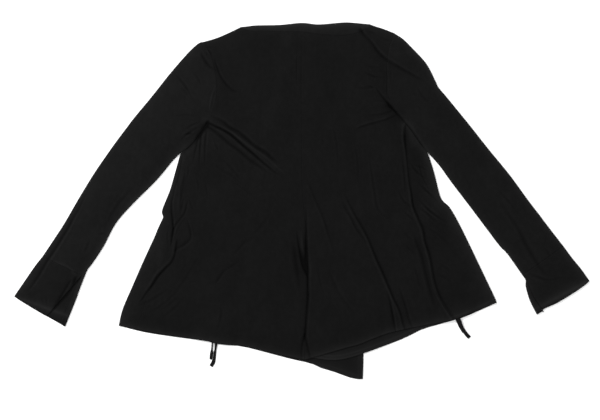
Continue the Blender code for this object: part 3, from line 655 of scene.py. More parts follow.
# %% Wrinkles
# Columns: depth, half width, x and y where it starts, x and y where it ends, how far the
# middle bows to the left of the straight line between them
WRINKLES = [
    (1.4, 2.0, -216, 132, -240, 128, -4),
    (0.6, 2.0, -178, 120, -168, 96, 2),
    (0.5, 1.8, -228, 74, -232, 40, 2),
    (0.6, 1.8, -238, 44, -243, 10, -2),
    (0.5, 2.2, -176, 96, -110, 24, 4),
    (0.4, 2.2, -190, 78, -92, 8, 5),
    (0.4, 2.4, -152, 46, -80, -8, 3),
    (0.6, 2.8, -336, -214, -262, -172, -4),
    (0.5, 2.6, -312, -228, -244, -176, -4),
    (0.4, 2.6, -288, -240, -234, -192, -3),
    (0.5, 1.8, -226, 10, -214, -26, -3),
    (0.5, 1.8, -212, 50, -208, 14, 2),
    (0.4, 2.0, -196, 40, -190, 0, 2),
    (0.4, 2.0, 60, 160, 72, 60, 3),
    (0.4, 2.0, 104, 120, 112, 30, 3),
    (0.4, 2.2, 30, -120, 44, -190, -3),
    (0.4, 2.2, 220, -120, 236, -180, 2),
    (0.5, 2.0, -230, -30, -254, -70, -3),
    (0.7, 2.0, -236, 8, -245, -30, 0),
    (0.5, 2.0, -268, -52, -266, -100, -3),
    (0.5, 2.6, -164, -204, -170, -258, 5),
    (0.4, 3.4, -243, -188, -297, -222, 4),
    (0.4, 3.0, -205, -108, -265, -198, 3),
    (0.4, 3.2, -60, -20, -105, -72, 3),
    (1.3, 2.1, 227, 8, 292, -46, -4),
    (0.9, 1.9, 228, 40, 268, 6, -3),
    (0.9, 1.9, 212, 80, 252, 40, -4),
    (0.8, 1.8, 231, -12, 268, -46, 2),
    (0.8, 1.8, 219, 72, 255, 58, 2),
    (0.8, 2.0, 190, 26, 226, -18, -7),
    (0.6, 1.8, 240, -17, 277, -52, 2),
    (0.6, 1.8, 238, 34, 276, -4, -3),
    (0.6, 1.8, 232, 84, 254, 20, -4),
    (0.5, 1.8, 236, -46, 300, -92, 3),
    (0.4, 2.2, 266, -146, 303, -168, 3),
    (0.4, 2.2, 262, -120, 306, -152, 3),
    (0.7, 1.8, 196, -17, 228, -45, 1),
    (0.6, 1.8, 199, -62, 226, -86, 1),
    (0.5, 1.8, 196, -82, 230, -112, 1),
    (0.6, 2.0, 198, 96, 206, 8, 2),
    (0.9, 1.8, 98, 229, 152, 232, -6),
    (1.0, 1.8, 118, 260, 163, 246, -4),
    (0.8, 1.8, 120, 234, 152, 225, -2),
    (0.6, 1.8, 118, 272, 158, 266, -2),
    (0.6, 2.2, 382, 30, 430, -24, 2),
    (0.6, 2.6, 484, -96, 497, -114, 1),
    (0.7, 3.0, 449, -146, 500, -167, 2),
    (0.5, 1.8, 130, 200, 188, 192, 3),
    (0.5, 1.8, 210, 192, 243, 181, 2),
    (0.5, 1.8, 212, 214, 236, 210, 1),
    (0.8, 1.8, 128, 340, 150, 331, 1),
    (0.6, 1.8, 150, 330, 184, 320, -3),
    (0.5, 2.4, 226, 236, 262, 190, -6),
    (0.5, 1.2, -11.5, 308, -11.5, 222, 0),
    (0.3, 1.2, -4, 308, -3, 180, 0),
    (0.6, 1.3, 167.6, 274, 167, 202, 2),
    (0.5, 1.3, 176, 274, 176, 226, 1),
    (0.8, 1.8, -197, 300, -184, 286, 0),
    (0.7, 1.8, -190, 304, -178, 290, 0),
    (0.5, 1.8, -203, 308, -171, 306, 0),
    (0.7, 2.0, -220, 258, -201, 226, 3),
    (1.0, 2.2, -260, 258, -217, 199, 4),
    (0.5, 2.0, -244, 226, -226, 206, 2),
    (-0.7, 1.8, -171, 238, -187, 170, -3),
    (0.6, 2.0, -262, 168, -200, 166, 4),
    (0.9, 1.9, -247, 118, -199, 153, 2),
    (0.8, 1.9, -240, 140, -196, 160, 2),
    (0.5, 3.0, -331, 34, -400, -62, -6),
    (0.6, 2.6, -424, -78, -437, -108, 0),
    (0.5, 2.2, -414, -66, -392, -66, 0),
    (0.6, 1.8, -512, -188, -512, -215, 0),
    (0.5, 1.8, -521, -193, -517, -214, 0),
    (0.4, 2.0, 462, -150, 530, -150, -8),
]
print("wrinkles:", len(WRINKLES))

# %% Hollows
# Columns: depth (minus for a swelling), x and y of its middle, its radius in x and in y
HOLLOWS = [
    (1.3, -192, 155, 5, 5),
    (1.4, -199, 146, 7, 7),
    (1.2, -209, 131, 6, 8),
    (0.6, -186, 146, 14, 10),
    (1.0, 172, 188, 9, 6),
    (0.5, 180, 170, 12, 14),
    (0.8, 209, 130, 6, 18),
    (0.9, 232, 84, 17, 48),
    (1.6, 3, -122, 6, 20),
    (0.5, -192, 280, 14, 18),
    (0.8, 117, 341, 7, 5),
    (-0.5, -32, 321, 12, 14),
    (0.4, -10, -128, 9, 36),
    (-0.5, 190, 296, 20, 10),
    (-0.5, -285, -118, 8, 34),
    (0.4, 284, -60, 12, 40),
]
print("hollows:", len(HOLLOWS))

# %% Furrows and rolls
DEPTH_SCALE = 1.2
ROLL_SCALE = 1.2
WIDTH_SCALE = 0.95
WRINKLE_ROLL = 0.4
# In half widths: how far out a crease reaches, where its roll stands and how wide it is
CREASE_REACH = 6
ROLL_AT = 2.0
ROLL_WIDTH = 1.2
# A furrow is a steep V, narrower where the crease fades, in a broad dip
NARROWEST = 0.5
V_SHARE = 0.85
V_POWER = 1.5
DIP_SHARE = 0.15
DIP_WIDTH = 3.0

# Columns: half width, height of the roll, its side, smooth line with its depths
FURROWS = [(half, roll, side, Line(rows)) for half, roll, side, rows in CREASES.values()]
for depth, half, x0, y0, x1, y1, bow in WRINKLES:
    length = math.hypot(x1 - x0, y1 - y0)
    middle_x = (x0 + x1) / 2 - (y1 - y0) / length * bow
    middle_y = (y0 + y1) / 2 + (x1 - x0) / length * bow
    line = Line([(x0, y0, 0), (middle_x, middle_y, depth), (x1, y1, 0)])
    FURROWS.append((half, WRINKLE_ROLL * depth, 0, line))


def crease_heights(places):
    """The sum of the creases: furrows that narrow as they fade, with rolls beside them."""
    total = np.zeros(len(places))
    for half, roll, roll_side, line in FURROWS:
        path = line.points[:, :2]
        near = beside(places, path, CREASE_REACH * half * WIDTH_SCALE)
        if not near.any():
            continue
        distance, side, share = nearest(places[near], path)
        depth = line.at(share)[:, 2]
        strength = np.abs(depth) / np.abs(line.points[:, 2]).max()
        width = half * WIDTH_SCALE * (NARROWEST + (1 - NARROWEST) * strength)
        furrow = V_SHARE * np.exp(-(distance / width) ** V_POWER)
        furrow += DIP_SHARE * np.exp(-(distance / (DIP_WIDTH * width)) ** 2)
        away = distance * side * roll_side if roll_side else distance
        rise = np.exp(-((away - ROLL_AT * width) / (ROLL_WIDTH * width)) ** 2)
        total[near] += ROLL_SCALE * roll * strength * rise - DEPTH_SCALE * depth * furrow
    for depth, x, y, radius_x, radius_y in HOLLOWS:
        out = ((places[:, 0] - x) / radius_x) ** 2 + ((places[:, 1] - y) / radius_y) ** 2
        total -= depth * np.exp(-out)
    return total


print("furrows:", len(FURROWS))

# %% [markdown]
# ## Streaks, waves and seams
#
# Smoothed by hand, jersey never lies quite level.  It keeps faint streaks that hang from
# the neck, a fine crumple and long shallow waves.  A noise texture could push them up,
# but as part of the height formula they also reach across the seams.

# %% Streaks and crumple
SEEDS = {"streak": 3, "fine_streak": 4, "crumple": 5, "wave": 7, "mottle": 8}
STREAK_ACROSS = 13.0
STREAK_ALONG = 85.0
STREAK_HEIGHT = 0.10
FINE_ACROSS = 0.45
FINE_ALONG = 50.0
FINE_HEIGHT = 0.5
# The streaks fan out from the neck
NECK_Y = 338
FAN_AT_NECK = 0.62
FAN_LENGTH = 950
FAN_WIDTH = 0.8
CRUMPLE_SIZE = 9.0
CRUMPLE_LENGTH = 1.7
CRUMPLE_HEIGHT = 0.12
LATTICE = 64


def soft_noise(u, v, seed):
    """Smooth random heights from -1 to 1 over a lattice of whole numbers."""
    lattice = np.random.default_rng(seed).uniform(-1, 1, (LATTICE, LATTICE))
    column, row = np.floor(u).astype(int), np.floor(v).astype(int)
    du, dv = smoothstep(u - column), smoothstep(v - row)
    corner = [[lattice[(column + i) % LATTICE, (row + j) % LATTICE] for j in (0, 1)]
              for i in (0, 1)]
    low = corner[0][0] * (1 - du) + corner[1][0] * du
    high = corner[0][1] * (1 - du) + corner[1][1] * du
    return low * (1 - dv) + high * dv


def streak_heights(places):
    """Faint hanging lines that fan out from the neck, and a finer crumple between them."""
    x, y = places.T
    fan = x / (FAN_AT_NECK + (NECK_Y - y) / FAN_LENGTH)
    down = np.hypot(x * FAN_WIDTH, NECK_Y - y)
    total = STREAK_HEIGHT * soft_noise(fan / STREAK_ACROSS, down / STREAK_ALONG,
                                       SEEDS["streak"])
    total += FINE_HEIGHT * STREAK_HEIGHT * soft_noise(fan / (STREAK_ACROSS * FINE_ACROSS),
                                                      down / FINE_ALONG, SEEDS["fine_streak"])
    rise, fall = (x + y) / math.sqrt(2), (x - y) / math.sqrt(2)
    crumple = soft_noise(rise / CRUMPLE_SIZE, fall / (CRUMPLE_SIZE * CRUMPLE_LENGTH),
                         SEEDS["crumple"])
    return total + CRUMPLE_HEIGHT * crumple


print("streak at the origin: %.3f mm" % streak_heights(np.zeros((1, 2)))[0])

# %% Waves
WAVES = 22
WAVE_LENGTHS = (26.0, 110.0)
WAVE_HEIGHT = 0.07
# A wave of this length has just that height, and longer ones are higher
WAVE_BASE = 60


def wave_heights(places):
    """Shallow unevenness of cloth that was smoothed by hand."""
    pick = np.random.default_rng(SEEDS["wave"])
    total = np.zeros(len(places))
    for _ in range(WAVES):
        length = pick.uniform(*WAVE_LENGTHS)
        angle = pick.uniform(0, 2 * math.pi)
        phase = pick.uniform(0, 2 * math.pi)
        along = places[:, 0] * math.cos(angle) + places[:, 1] * math.sin(angle)
        height = WAVE_HEIGHT * np.sqrt(length / WAVE_BASE)
        total += height * np.sin(2 * math.pi * along / length + phase)
    return total


print("waves:", WAVES)

# %% Seams
SEAM_DEPTH = 0.04
SEAM_HALF_WIDTH = 1.4
SEAM_REACH = 5
SEAMS = [CENTRE_LINE.points]
for side in SIDES:
    SEAMS += [LINES[name][side].points for name in ("armhole", "seam", "neckline")]
    cuff_top = LINES["cuff"][side].points[0]
    SEAMS.append(np.array([cuff_top[:2], cuff_top[2:4]]))


def seam_heights(places):
    """A narrow groove along each seam."""
    total = np.zeros(len(places))
    for path in SEAMS:
        near = beside(places, path, SEAM_REACH * SEAM_HALF_WIDTH)
        if near.any():
            distance = nearest(places[near], path)[0]
            total[near] -= SEAM_DEPTH * np.exp(-(distance / SEAM_HALF_WIDTH) ** 2)
    return total


print("seams:", len(SEAMS))

# %% Height of the upper layer
# How gently the cloth comes to rest on what is under it, and the largest power of e used
FLOOR_SOFTNESS = 0.3
LARGEST_POWER = 30


def upper_z(places):
    """Height of the middle of the upper layer."""
    flat = places.reshape(-1, 2)
    inside = np.maximum(nearest(flat, OUTLINE)[0] - TURN_REACH, 0.0)
    raised = front_lift(flat) * held_up(off_panel(flat, "right"))
    lift = np.zeros(len(flat))
    for root in TIE_ROOTS:
        lift += TIE_LIFT * held_up(np.linalg.norm(flat - np.array(root), axis=1))
    floor = EDGE_Z + raised + lift
    loft = LOFT * (1 - np.exp(-(inside / LOFT_WIDTH) ** 2)) * (1 - lift / TIE_LIFT)
    relief = crease_heights(flat) + wave_heights(flat) + streak_heights(flat)
    fade = smoothstep(inside / FOLD_FADE)
    z = floor + loft + relief * fade + seam_heights(flat) * fade
    above = np.clip((z - floor) / FLOOR_SOFTNESS, -LARGEST_POWER, LARGEST_POWER)
    z = floor + FLOOR_SOFTNESS * np.log1p(np.exp(above))
    return z.reshape(places.shape[:-1])


print("height between the shoulders: %.1f mm" % upper_z(np.array([[60.0, 200.0]]))[0])

# %% [markdown]
# ## Shells of cloth
#
# Each piece is a cut of cloth with a real thickness.  A flat grid with a Solidify
# modifier could give it one.  Here both faces are made straight from the grid of points
# through the middle of the cloth: half the thickness goes to either side, and a rim
# closes the cut edges, so each shell is one closed mesh.

# %% Shells
# Between the middles of the two layers
BETWEEN_Z = 1.2
SHORTEST = 1e-9


def grid_normals(points, ring):
    """Directions out of a grid of points, from its neighbours."""
    if ring:
        across = np.roll(points, -1, axis=1) - np.roll(points, 1, axis=1)
    else:
        across = np.gradient(points, axis=1)
    normal = np.cross(across, np.gradient(points, axis=0))
    length = np.linalg.norm(normal, axis=-1, keepdims=True)
    return normal / np.maximum(length, SHORTEST)


def add_shell(name, points, present=None, ring=False):
    """A closed shell round a grid of points, where its cells are present."""
    rows, columns = points.shape[:2]
    if present is None:
        present = np.ones((rows - 1, columns if ring else columns - 1), bool)
    normals = grid_normals(points, ring)
    first = rows // 2, 0, 2
    flip = np.sign(normals[first]) * np.sign(points[first] - BETWEEN_Z) or 1.0
    normals = normals * flip
    row, column = np.nonzero(present)
    after = (column + 1) % columns
    quads = np.stack([row * columns + column, (row + 1) * columns + column,
                      (row + 1) * columns + after, row * columns + after], axis=1)
    used, compact = np.unique(quads, return_inverse=True)
    compact = compact.reshape(quads.shape)
    count = len(used)
    outer = (points + normals * WALL / 2).reshape(-1, 3)[used]
    inner = (points - normals * WALL / 2).reshape(-1, 3)[used]
    edges = np.concatenate([compact[:, [i, (i + 1) % 4]] for i in range(4)])
    keys = edges[:, 0] * count + edges[:, 1]
    twins = edges[:, 1] * count + edges[:, 0]
    rims = edges[~np.isin(keys, twins)].tolist()
    faces = compact.tolist()
    faces += (compact[:, ::-1] + count).tolist()
    smooth_count = len(faces)
    faces += [[b, a, a + count, b + count] for a, b in rims]
    mesh = bpy.data.meshes.new(name)
    mesh.from_pydata((np.vstack([outer, inner]) * MM).tolist(), [], faces)
    mesh.polygons.foreach_set("use_smooth", np.arange(len(faces)) < smooth_count)
    if flip < 0:
        mesh.flip_normals()
    mesh.update()
    return add_object(name, mesh)


print("cloth thickness: %.1f mm" % WALL)

# %% Grids
def with_height(places, z):
    z = np.broadcast_to(z, places.shape[:-1])
    return np.concatenate([places, z[..., None]], axis=-1)


def spread(start, end, shares):
    """A grid of places between two lines of points."""
    return start[:, None] * (1 - shares[None, :, None]) + end[:, None] * shares[None, :, None]


def even_steps(count, crowd=0.0):
    """Shares from 0 to 1, drawn together at both ends by crowd."""
    share = np.linspace(0, 1, count + 1)
    return share - crowd * np.sin(2 * math.pi * share) / (2 * math.pi)


def fit_ends(grid, rows, top, hem):
    """Bend a grid so that its first row lies on the top line and its last on the hem."""
    top_shift = top(grid[0, :, 0]) - grid[0, :, 1]
    hem_shift = hem(grid[-1, :, 0]) - grid[-1, :, 1]
    grid[:, :, 1] += (1 - rows)[:, None] * top_shift + rows[:, None] * hem_shift
    return grid


print("crowded steps:", even_steps(4, 0.3).round(3).tolist())

# %% Folds
TURN_ANGLES = (67.5, 45.0, 22.5, 0.0, -22.5, -45.0, -67.5)


def turn_points(edge, outward, angles):
    """Points round a fold, whose outermost line is edge, from upper to lower layer."""
    points = []
    for angle in np.radians(angles):
        reach = outward * (TURN_RADIUS * math.cos(angle) - TURN_REACH)
        level = LOW_Z + TURN_RADIUS + TURN_RADIUS * math.sin(angle)
        points.append(with_height(edge + reach, level))
    return np.stack(points, axis=1)


print("a fold turns on a radius of %.1f mm" % TURN_RADIUS)

# %% Rows of the body
UNDERARM_SHARE = 0.274
ARMHOLE_STEPS = 62
BODY_STEPS = 172
BODY_CROWD = 0.3
BELOW_STEPS = even_steps(BODY_STEPS, BODY_CROWD)[1:]
ROWS = np.concatenate([np.linspace(0, UNDERARM_SHARE, ARMHOLE_STEPS + 1),
                       UNDERARM_SHARE + (1 - UNDERARM_SHARE) * BELOW_STEPS])
UNDER_THE_ARM = ROWS > UNDERARM_SHARE


def down_side(read, lower, side):
    """What read gives down a side: for the armhole, then for the lower line."""
    above = read(LINES["armhole"][side], ROWS / UNDERARM_SHARE)
    below = read(LINES[lower][side], (ROWS - UNDERARM_SHARE) / (1 - UNDERARM_SHARE))
    return np.where(UNDER_THE_ARM[:, None], below, above)


def side_points(side, lower):
    return down_side(Line.at, lower, side)


def away_from_side(side, lower):
    """Unit vectors from the side lines towards the middle of the body."""
    return (1.0 if side == "left" else -1.0) * down_side(Line.left_of, lower, side)


print("rows of the body:", len(ROWS))

# %% [markdown]
# ## The two halves of the back
#
# Each half runs from the armhole and the side seam to the centre-back seam.  It is the
# piece that shows most, so its grid is the finest, with cells of one to three
# millimetres.  A subdivided plane could be cut to the outline, but its edges would be
# stepped.  This grid is stretched between the seams instead, and its lines run from
# shoulder and neckline to the hem, as the wales of the knit do.

# %% Back
NECK_LINES_AT_HEM = (143.0, 140.0)
SHOULDER_STEPS = 108
CORNER_STEPS = 3
NECK_STEPS = 98
BACK_CROWD = 0.1


def neck_lines(side):
    """Two lines of places from the ends of the shoulder and the neckline to the hem."""
    sign = -1.0 if side == "left" else 1.0
    tops = [LINES["shoulder"][side].points[-1], LINES["neckline"][side].points[0]]
    lines = []
    for top, x in zip(tops, NECK_LINES_AT_HEM):
        hem = np.array([sign * x, LINES["back_hem"][side].y_at(sign * x)])
        lines.append(top + (hem - top) * ROWS[:, None])
    return lines


def back_places(side):
    """Plan of half of the back: from armhole and side seam to the centre back."""
    outer = side_points(side, "seam")
    first, second = neck_lines(side)
    hem = LINES["back_hem"][side].y_at
    shoulder = spread(outer, first, even_steps(SHOULDER_STEPS, BACK_CROWD))
    neck = spread(second, CENTRE_LINE.at(ROWS), even_steps(NECK_STEPS, BACK_CROWD))
    corner = spread(first, second, even_steps(CORNER_STEPS))
    return np.concatenate([fit_ends(shoulder, ROWS, LINES["shoulder"][side].y_at, hem),
                           corner[:, 1:-1],
                           fit_ends(neck, ROWS, LINES["neckline"][side].y_at, hem)], axis=1)


cloth = {}
for side in SIDES:
    places = back_places(side)
    cloth["back_" + side] = add_shell("back_%s_cloth" % side, with_height(places, upper_z(places)))
print("back faces:", len(cloth["back_left"].data.polygons))

# %% [markdown]
# ## The two fronts
#
# A front is the lower layer of its half.  At the side it folds up over the edge and
# comes a few centimetres on to the back, to the side seam.  The fold could be two sheets
# that touch, but a knit turns round in a soft curve, so lower layer, turn and strip are
# one grid.  Its cells above the underarm are left out past the lower layer, where the
# sleeve takes over.

# %% Fronts
FREE_EDGE_SHARES = [0.0, 0.004, 0.008, 0.013, 0.019]
PANEL_START = 0.026
PANEL_STEPS = 28
PANEL_CROWD = 0.2
STRIP_STEPS = 48
PANEL_SHARES = PANEL_START + (1 - PANEL_START) * even_steps(PANEL_STEPS, PANEL_CROWD)
FRONT_SHARES = np.concatenate([FREE_EDGE_SHARES, PANEL_SHARES])
STRIP_SHARES = even_steps(STRIP_STEPS)


def front_places(side):
    """Plan of the lower layer of a front, from its free edge to its side."""
    inset = np.where(UNDER_THE_ARM, TURN_REACH, 0.0)[:, None]
    outer = side_points(side, "fold") + away_from_side(side, "fold") * inset
    grid = spread(LINES["front_edge"][side].at(ROWS), outer, FRONT_SHARES)
    return fit_ends(grid, ROWS, LINES["shoulder"][side].y_at, LINES["front_hem"][side].y_at)


for side in SIDES:
    places = front_places(side)
    lift = 0.0
    if side == "right":
        lift = front_lift(places.reshape(-1, 2)).reshape(places.shape[:-1])
    fold = side_points(side, "fold")
    inward = away_from_side(side, "fold")
    turn = turn_points(fold, -inward, TURN_ANGLES[::-1])
    strip_places = spread(fold + inward * TURN_REACH, side_points(side, "seam"), STRIP_SHARES)
    points = np.concatenate([with_height(places, LOW_Z + lift), turn,
                             with_height(strip_places, upper_z(strip_places))], axis=1)
    present = np.ones((len(ROWS) - 1, points.shape[1] - 1), bool)
    present[:ARMHOLE_STEPS + 1, len(FRONT_SHARES) - 1:] = False
    cloth["front_" + side] = add_shell("front_%s_cloth" % side, points, present)
print("front faces:", len(cloth["front_left"].data.polygons))

# %% [markdown]
# ## Sleeves
#
# A set-in sleeve is one piece, sewn to a tube and pressed flat, with a round fold along
# each side.  A scaled cylinder would be oval all round.  A ring of points is made
# instead: upper layer, fold, lower layer, fold.  Its rows start as the curve of the
# armhole and straighten on the way down.

# %% Sleeves
SLEEVE_STEPS = 230
SLEEVE_COLUMNS = 56
UNDER_STRIDE = 4


def across_sleeve(side, table_row, shares):
    """Places across a sleeve, bowed where it is near the armhole."""
    start, end = table_row[:2], table_row[2:4]
    armhole = LINES["armhole"][side].at(shares)
    bow = armhole - (armhole[0] + (armhole[-1] - armhole[0]) * shares[:, None])
    return start + (end - start) * shares[:, None] + bow * table_row[4]


def pull_in(places, reach):
    """Move both end places of each row towards the middle, off the folds."""
    places = places.copy()
    for end, neighbour in ((0, 1), (-1, -2)):
        places[:, end] += unit(places[:, neighbour] - places[:, end]) * reach
    return places


def add_sleeve(side):
    """A flattened tube with a round fold at each side."""
    shares = np.linspace(0, 1, SLEEVE_COLUMNS + 1)
    table = LINES["sleeve"][side].at(np.linspace(0, 1, SLEEVE_STEPS + 1))
    places = np.stack([across_sleeve(side, row, shares) for row in table])
    inner = pull_in(places, TURN_REACH)
    top = with_height(inner, upper_z(inner))
    low = with_height(inner[:, ::-UNDER_STRIDE], LOW_Z)
    near = turn_points(places[:, -1], unit(places[:, -1] - places[:, -2]), TURN_ANGLES)
    far = turn_points(places[:, 0], unit(places[:, 0] - places[:, 1]), TURN_ANGLES[::-1])
    points = np.concatenate([top, near, low, far], axis=1)
    return add_shell("sleeve_%s_cloth" % side, points, ring=True)


print("cells across a sleeve:", SLEEVE_COLUMNS)

# %% [markdown]
# ## Cuffs
#
# The cuff is a flared band sewn to the sleeve's end and open along a slit on its back.
# A slit could be cut with a Boolean, which leaves long thin faces.  Here the grid starts
# and ends at the slit: flap, outer fold, lower layer, inner fold, and the narrow tongue.

# %% Cuffs
CUFF_STEPS = 44
FLAP_STEPS = 44
FLAP_CROWD = 0.2
UNDER_STEPS = 14
TONGUE_STEPS = 4
BOW_BIAS = 0.6
DRAW_BACK_SPREAD = 0.16
# Where the slit is narrower than SLIT_OPEN, its edges are drawn together
SLIT_OPEN = 0.03
SLIT_CLOSED = 0.015
SLIT_DRAWN = 0.7


def bowed(places, outer, inner, shape):
    """Push the middle of each row out along the sleeve, and draw it back beside the slit."""
    across = inner - outer
    width = np.linalg.norm(across, axis=1)
    share = np.linalg.norm(places - outer[:, None], axis=2) / width[:, None]
    slit, bow, back = shape[:, 0:1], shape[:, 1:2], shape[:, 2:3]
    rise = bow * np.sin(math.pi * np.clip(share, 0, 1) ** BOW_BIAS)
    rise = rise - back * np.exp(-((share - slit) / DRAW_BACK_SPREAD) ** 2)
    outward = np.stack([across[:, 1], -across[:, 0]], axis=-1) / width[:, None]
    outward *= np.sign(-outward[:, 1:2])
    return places + outward[:, None] * rise[:, :, None]


def add_cuff(side):
    """A flared band, open along the slit on its back."""
    table = LINES["cuff"][side].at(np.linspace(0, 1, CUFF_STEPS + 1))
    outer, inner = table[:, :2], table[:, 2:4]
    across = inner - outer
    width = np.linalg.norm(across, axis=1, keepdims=True)
    across = across / width
    edge_outer = outer + across * TURN_REACH
    edge_inner = inner - across * TURN_REACH
    gap = table[:, 5:6] - table[:, 4:5]
    closed = np.clip((SLIT_OPEN - gap) / (SLIT_OPEN - SLIT_CLOSED), 0, 1)
    slit_start = outer + across * width * (table[:, 4:5] + SLIT_DRAWN * gap * closed)
    slit_end = outer + across * width * table[:, 5:6]
    shape, reach = table[:, [4, 6, 8]], table[:, 7:8]
    flap = bowed(spread(slit_start, edge_outer, even_steps(FLAP_STEPS, FLAP_CROWD)),
                 outer, inner, shape)
    tongue = spread(edge_inner, slit_end, even_steps(TONGUE_STEPS))
    tongue[:, -1] += unit(table[-1, :2] - table[0, :2]) * reach
    low = bowed(spread(edge_outer, edge_inner, even_steps(UNDER_STEPS)), outer, inner, shape)
    far = turn_points(outer, -across, TURN_ANGLES)
    near = turn_points(inner, across, TURN_ANGLES[::-1])
    points = np.concatenate([with_height(flap, upper_z(flap)), far, with_height(low, LOW_Z),
                             near, with_height(tongue, upper_z(tongue))], axis=1)
    return add_shell("cuff_%s_cloth" % side, points)


print("cells across the flap of a cuff:", FLAP_STEPS)

# %% Sleeves with their cuffs
for side in SIDES:
    cloth["sleeve_" + side] = add_sleeve(side)
    cloth["cuff_" + side] = add_cuff(side)
for name in ("sleeve_left", "cuff_left"):
    print(name, "faces:", len(cloth[name].data.polygons))

# %% [markdown]
# ## Collar
#
# A narrow band folded lengthwise.  Its upper half shows above the back neckline, and its
# lower half is hidden under the back.  It is one grid round the fold, like a front.

# %% Collar
COLLAR_COLUMNS = 110
BAND_STEPS = 8
BAND_CROWD = 0.2
HIDDEN_STEPS = 4
COLLAR_FLAP_END = 2.5
COLLAR_FLAP_MIDDLE = 22.0
# How far the ends of the fold lean out, and how close to the ends they do so
COLLAR_END_LEAN = 2.0
COLLAR_LEAN_POWER = 12


def add_collar():
    """A folded band above the neckline, with its lower half hidden under the back."""
    left = LINES["neckline"]["left"].points
    right = LINES["neckline"]["right"].points[::-1]
    share = np.linspace(0, 1, COLLAR_COLUMNS)
    seam = Line(np.vstack([left, right[1:]])).at(share)
    lean = share**COLLAR_LEAN_POWER - (1 - share) ** COLLAR_LEAN_POWER
    fold_x = seam[:, 0] + COLLAR_END_LEAN * lean
    fold = np.stack([fold_x, COLLAR_LINE.y_at(fold_x)], axis=-1)
    outward = np.zeros_like(fold)
    outward[:, 1] = 1.0
    flap = COLLAR_FLAP_END + (COLLAR_FLAP_MIDDLE - COLLAR_FLAP_END) * np.sin(share * math.pi)
    start = fold - outward * TURN_REACH
    end = start - outward * flap[:, None]
    top_places = spread(seam, start, even_steps(BAND_STEPS, BAND_CROWD))
    top = with_height(top_places, upper_z(top_places))
    turn = turn_points(fold, outward, TURN_ANGLES)
    low = with_height(spread(start, end, even_steps(HIDDEN_STEPS)), LOW_Z)
    return add_shell("collar_cloth", np.concatenate([top, turn, low], axis=1))


cloth["collar"] = add_collar()
print("collar faces:", len(cloth["collar"].data.polygons))

# %% [markdown]
# ## Relief
#
# On black jersey a furrow shows because its walls hide each other from the light, and a
# roll or an edge shows because the nap on it catches light at a slant.  Both are finer
# than the pixels of this view.  So each vertex keeps a number that says how deep or how
# high it lies, and the material paints that shade and light into the black: painted shade
# in the furrows, painted highlight on the rolls and edges.  One half is level.

# %% Painted light and shade at edges and hems
# Painted highlight on the hem's roll and painted shade in its furrow, in the colour only
HEM_ROLL = 1.1
HEM_ROLL_AT = 8.0
HEM_FURROW = 0.6
HEM_FURROW_AT = 5.6
HEM_WIDTH = 1.4


def edge_painted_light(places, edges, light, width):
    """Painted light that creeps in at the outline, where the nap stands up against the table."""
    distance = np.min([nearest(places, edge)[0] for edge in edges], axis=0)
    return light * np.exp(-distance / width)


def hem_painted_light_and_shade(places, lines):
    """A narrow stitched hem, only in the colour: a painted highlight on its roll behind the cut
    edge and painted shade in a furrow before it.
    """
    total = np.zeros(len(places))
    for line in lines:
        distance = nearest(places, line)[0]
        total += HEM_ROLL * np.exp(-((distance - HEM_ROLL_AT) / HEM_WIDTH) ** 2)
        total -= HEM_FURROW * np.exp(-((distance - HEM_FURROW_AT) / HEM_WIDTH) ** 2)
    return total


print("the hem's roll lies %.0f mm in" % HEM_ROLL_AT)

# %% Relief on the vertices
RELIEF_RANGE = 3.0
MOTTLE = 0.25
MOTTLE_SIZE = 5.0


def mark_relief(piece, edges, edge_light, hems):
    """Keep with each vertex how deep in a crease (minus) or high on a roll it lies, with the
    painted light of edges and hems and a random mottle, for the material's painted shade and
    highlight.
    """
    mesh = piece.data
    count = len(mesh.vertices)
    place = np.empty(count * 3)
    mesh.vertices.foreach_get("co", place)
    place = place.reshape(count, 3) / MM
    relief = edge_painted_light(place[:, :2], edges, *edge_light) + hem_painted_light_and_shade(place[:, :2], hems)
    upper = place[:, 2] > LOW_Z + WALL
    relief[upper] += crease_heights(place[upper, :2])
    relief[upper] += MOTTLE * soft_noise(*(place[upper, :2].T / MOTTLE_SIZE), SEEDS["mottle"])
    # The material paints shade into furrows and highlight on rolls, hems and edges by this number
    mark = mesh.attributes.new("relief", "FLOAT", "POINT")
    mark.data.foreach_set("value", np.clip(relief / RELIEF_RANGE, -1, 1) * 0.5 + 0.5)


# The fronts' painted hems show on the strip and the corner, which lie past this x
STRIP_FROM_X = 40
FREE_EDGE = LINES["front_edge"]["left"].points
EDGES, HEMS = {}, {}
for side in SIDES:
    hem = LINES["front_hem"][side].points
    EDGES["front_" + side] = [hem, LINES["fold"][side].points]
    HEMS["front_" + side] = [hem[hem[:, 0] > STRIP_FROM_X]]
EDGES["front_left"].append(FREE_EDGE)
HEMS["front_left"].append(FREE_EDGE)
print("pieces with their own edges:", sorted(EDGES))

# %% [markdown]
# ## Jersey
#
# Fine viscose jersey, piece-dyed black.  The face of a single jersey is a field of
# tiny V stitches in columns (wales) and rows (courses), about 14 and 18 to the
# centimetre.  It is matt, with a little fuzz that catches light at a slant, and the dye
# takes very slightly unevenly.
#
# An image of knit could be wrapped on, but it would repeat.  Here two bands of waves
# cross as wales and courses at their real spacing.  They are too fine to show from
# straight above, and they are there for a close look.

# %% Colour and nodes
def linear(hex_colour):
    """A linear colour from an sRGB hex colour."""
    values = [int(hex_colour[i:i + 2], 16) / 255 for i in (1, 3, 5)]
    return tuple(v / 12.92 if v <= 0.04045 else ((v + 0.055) / 1.055) ** 2.4
                 for v in values) + (1.0,)


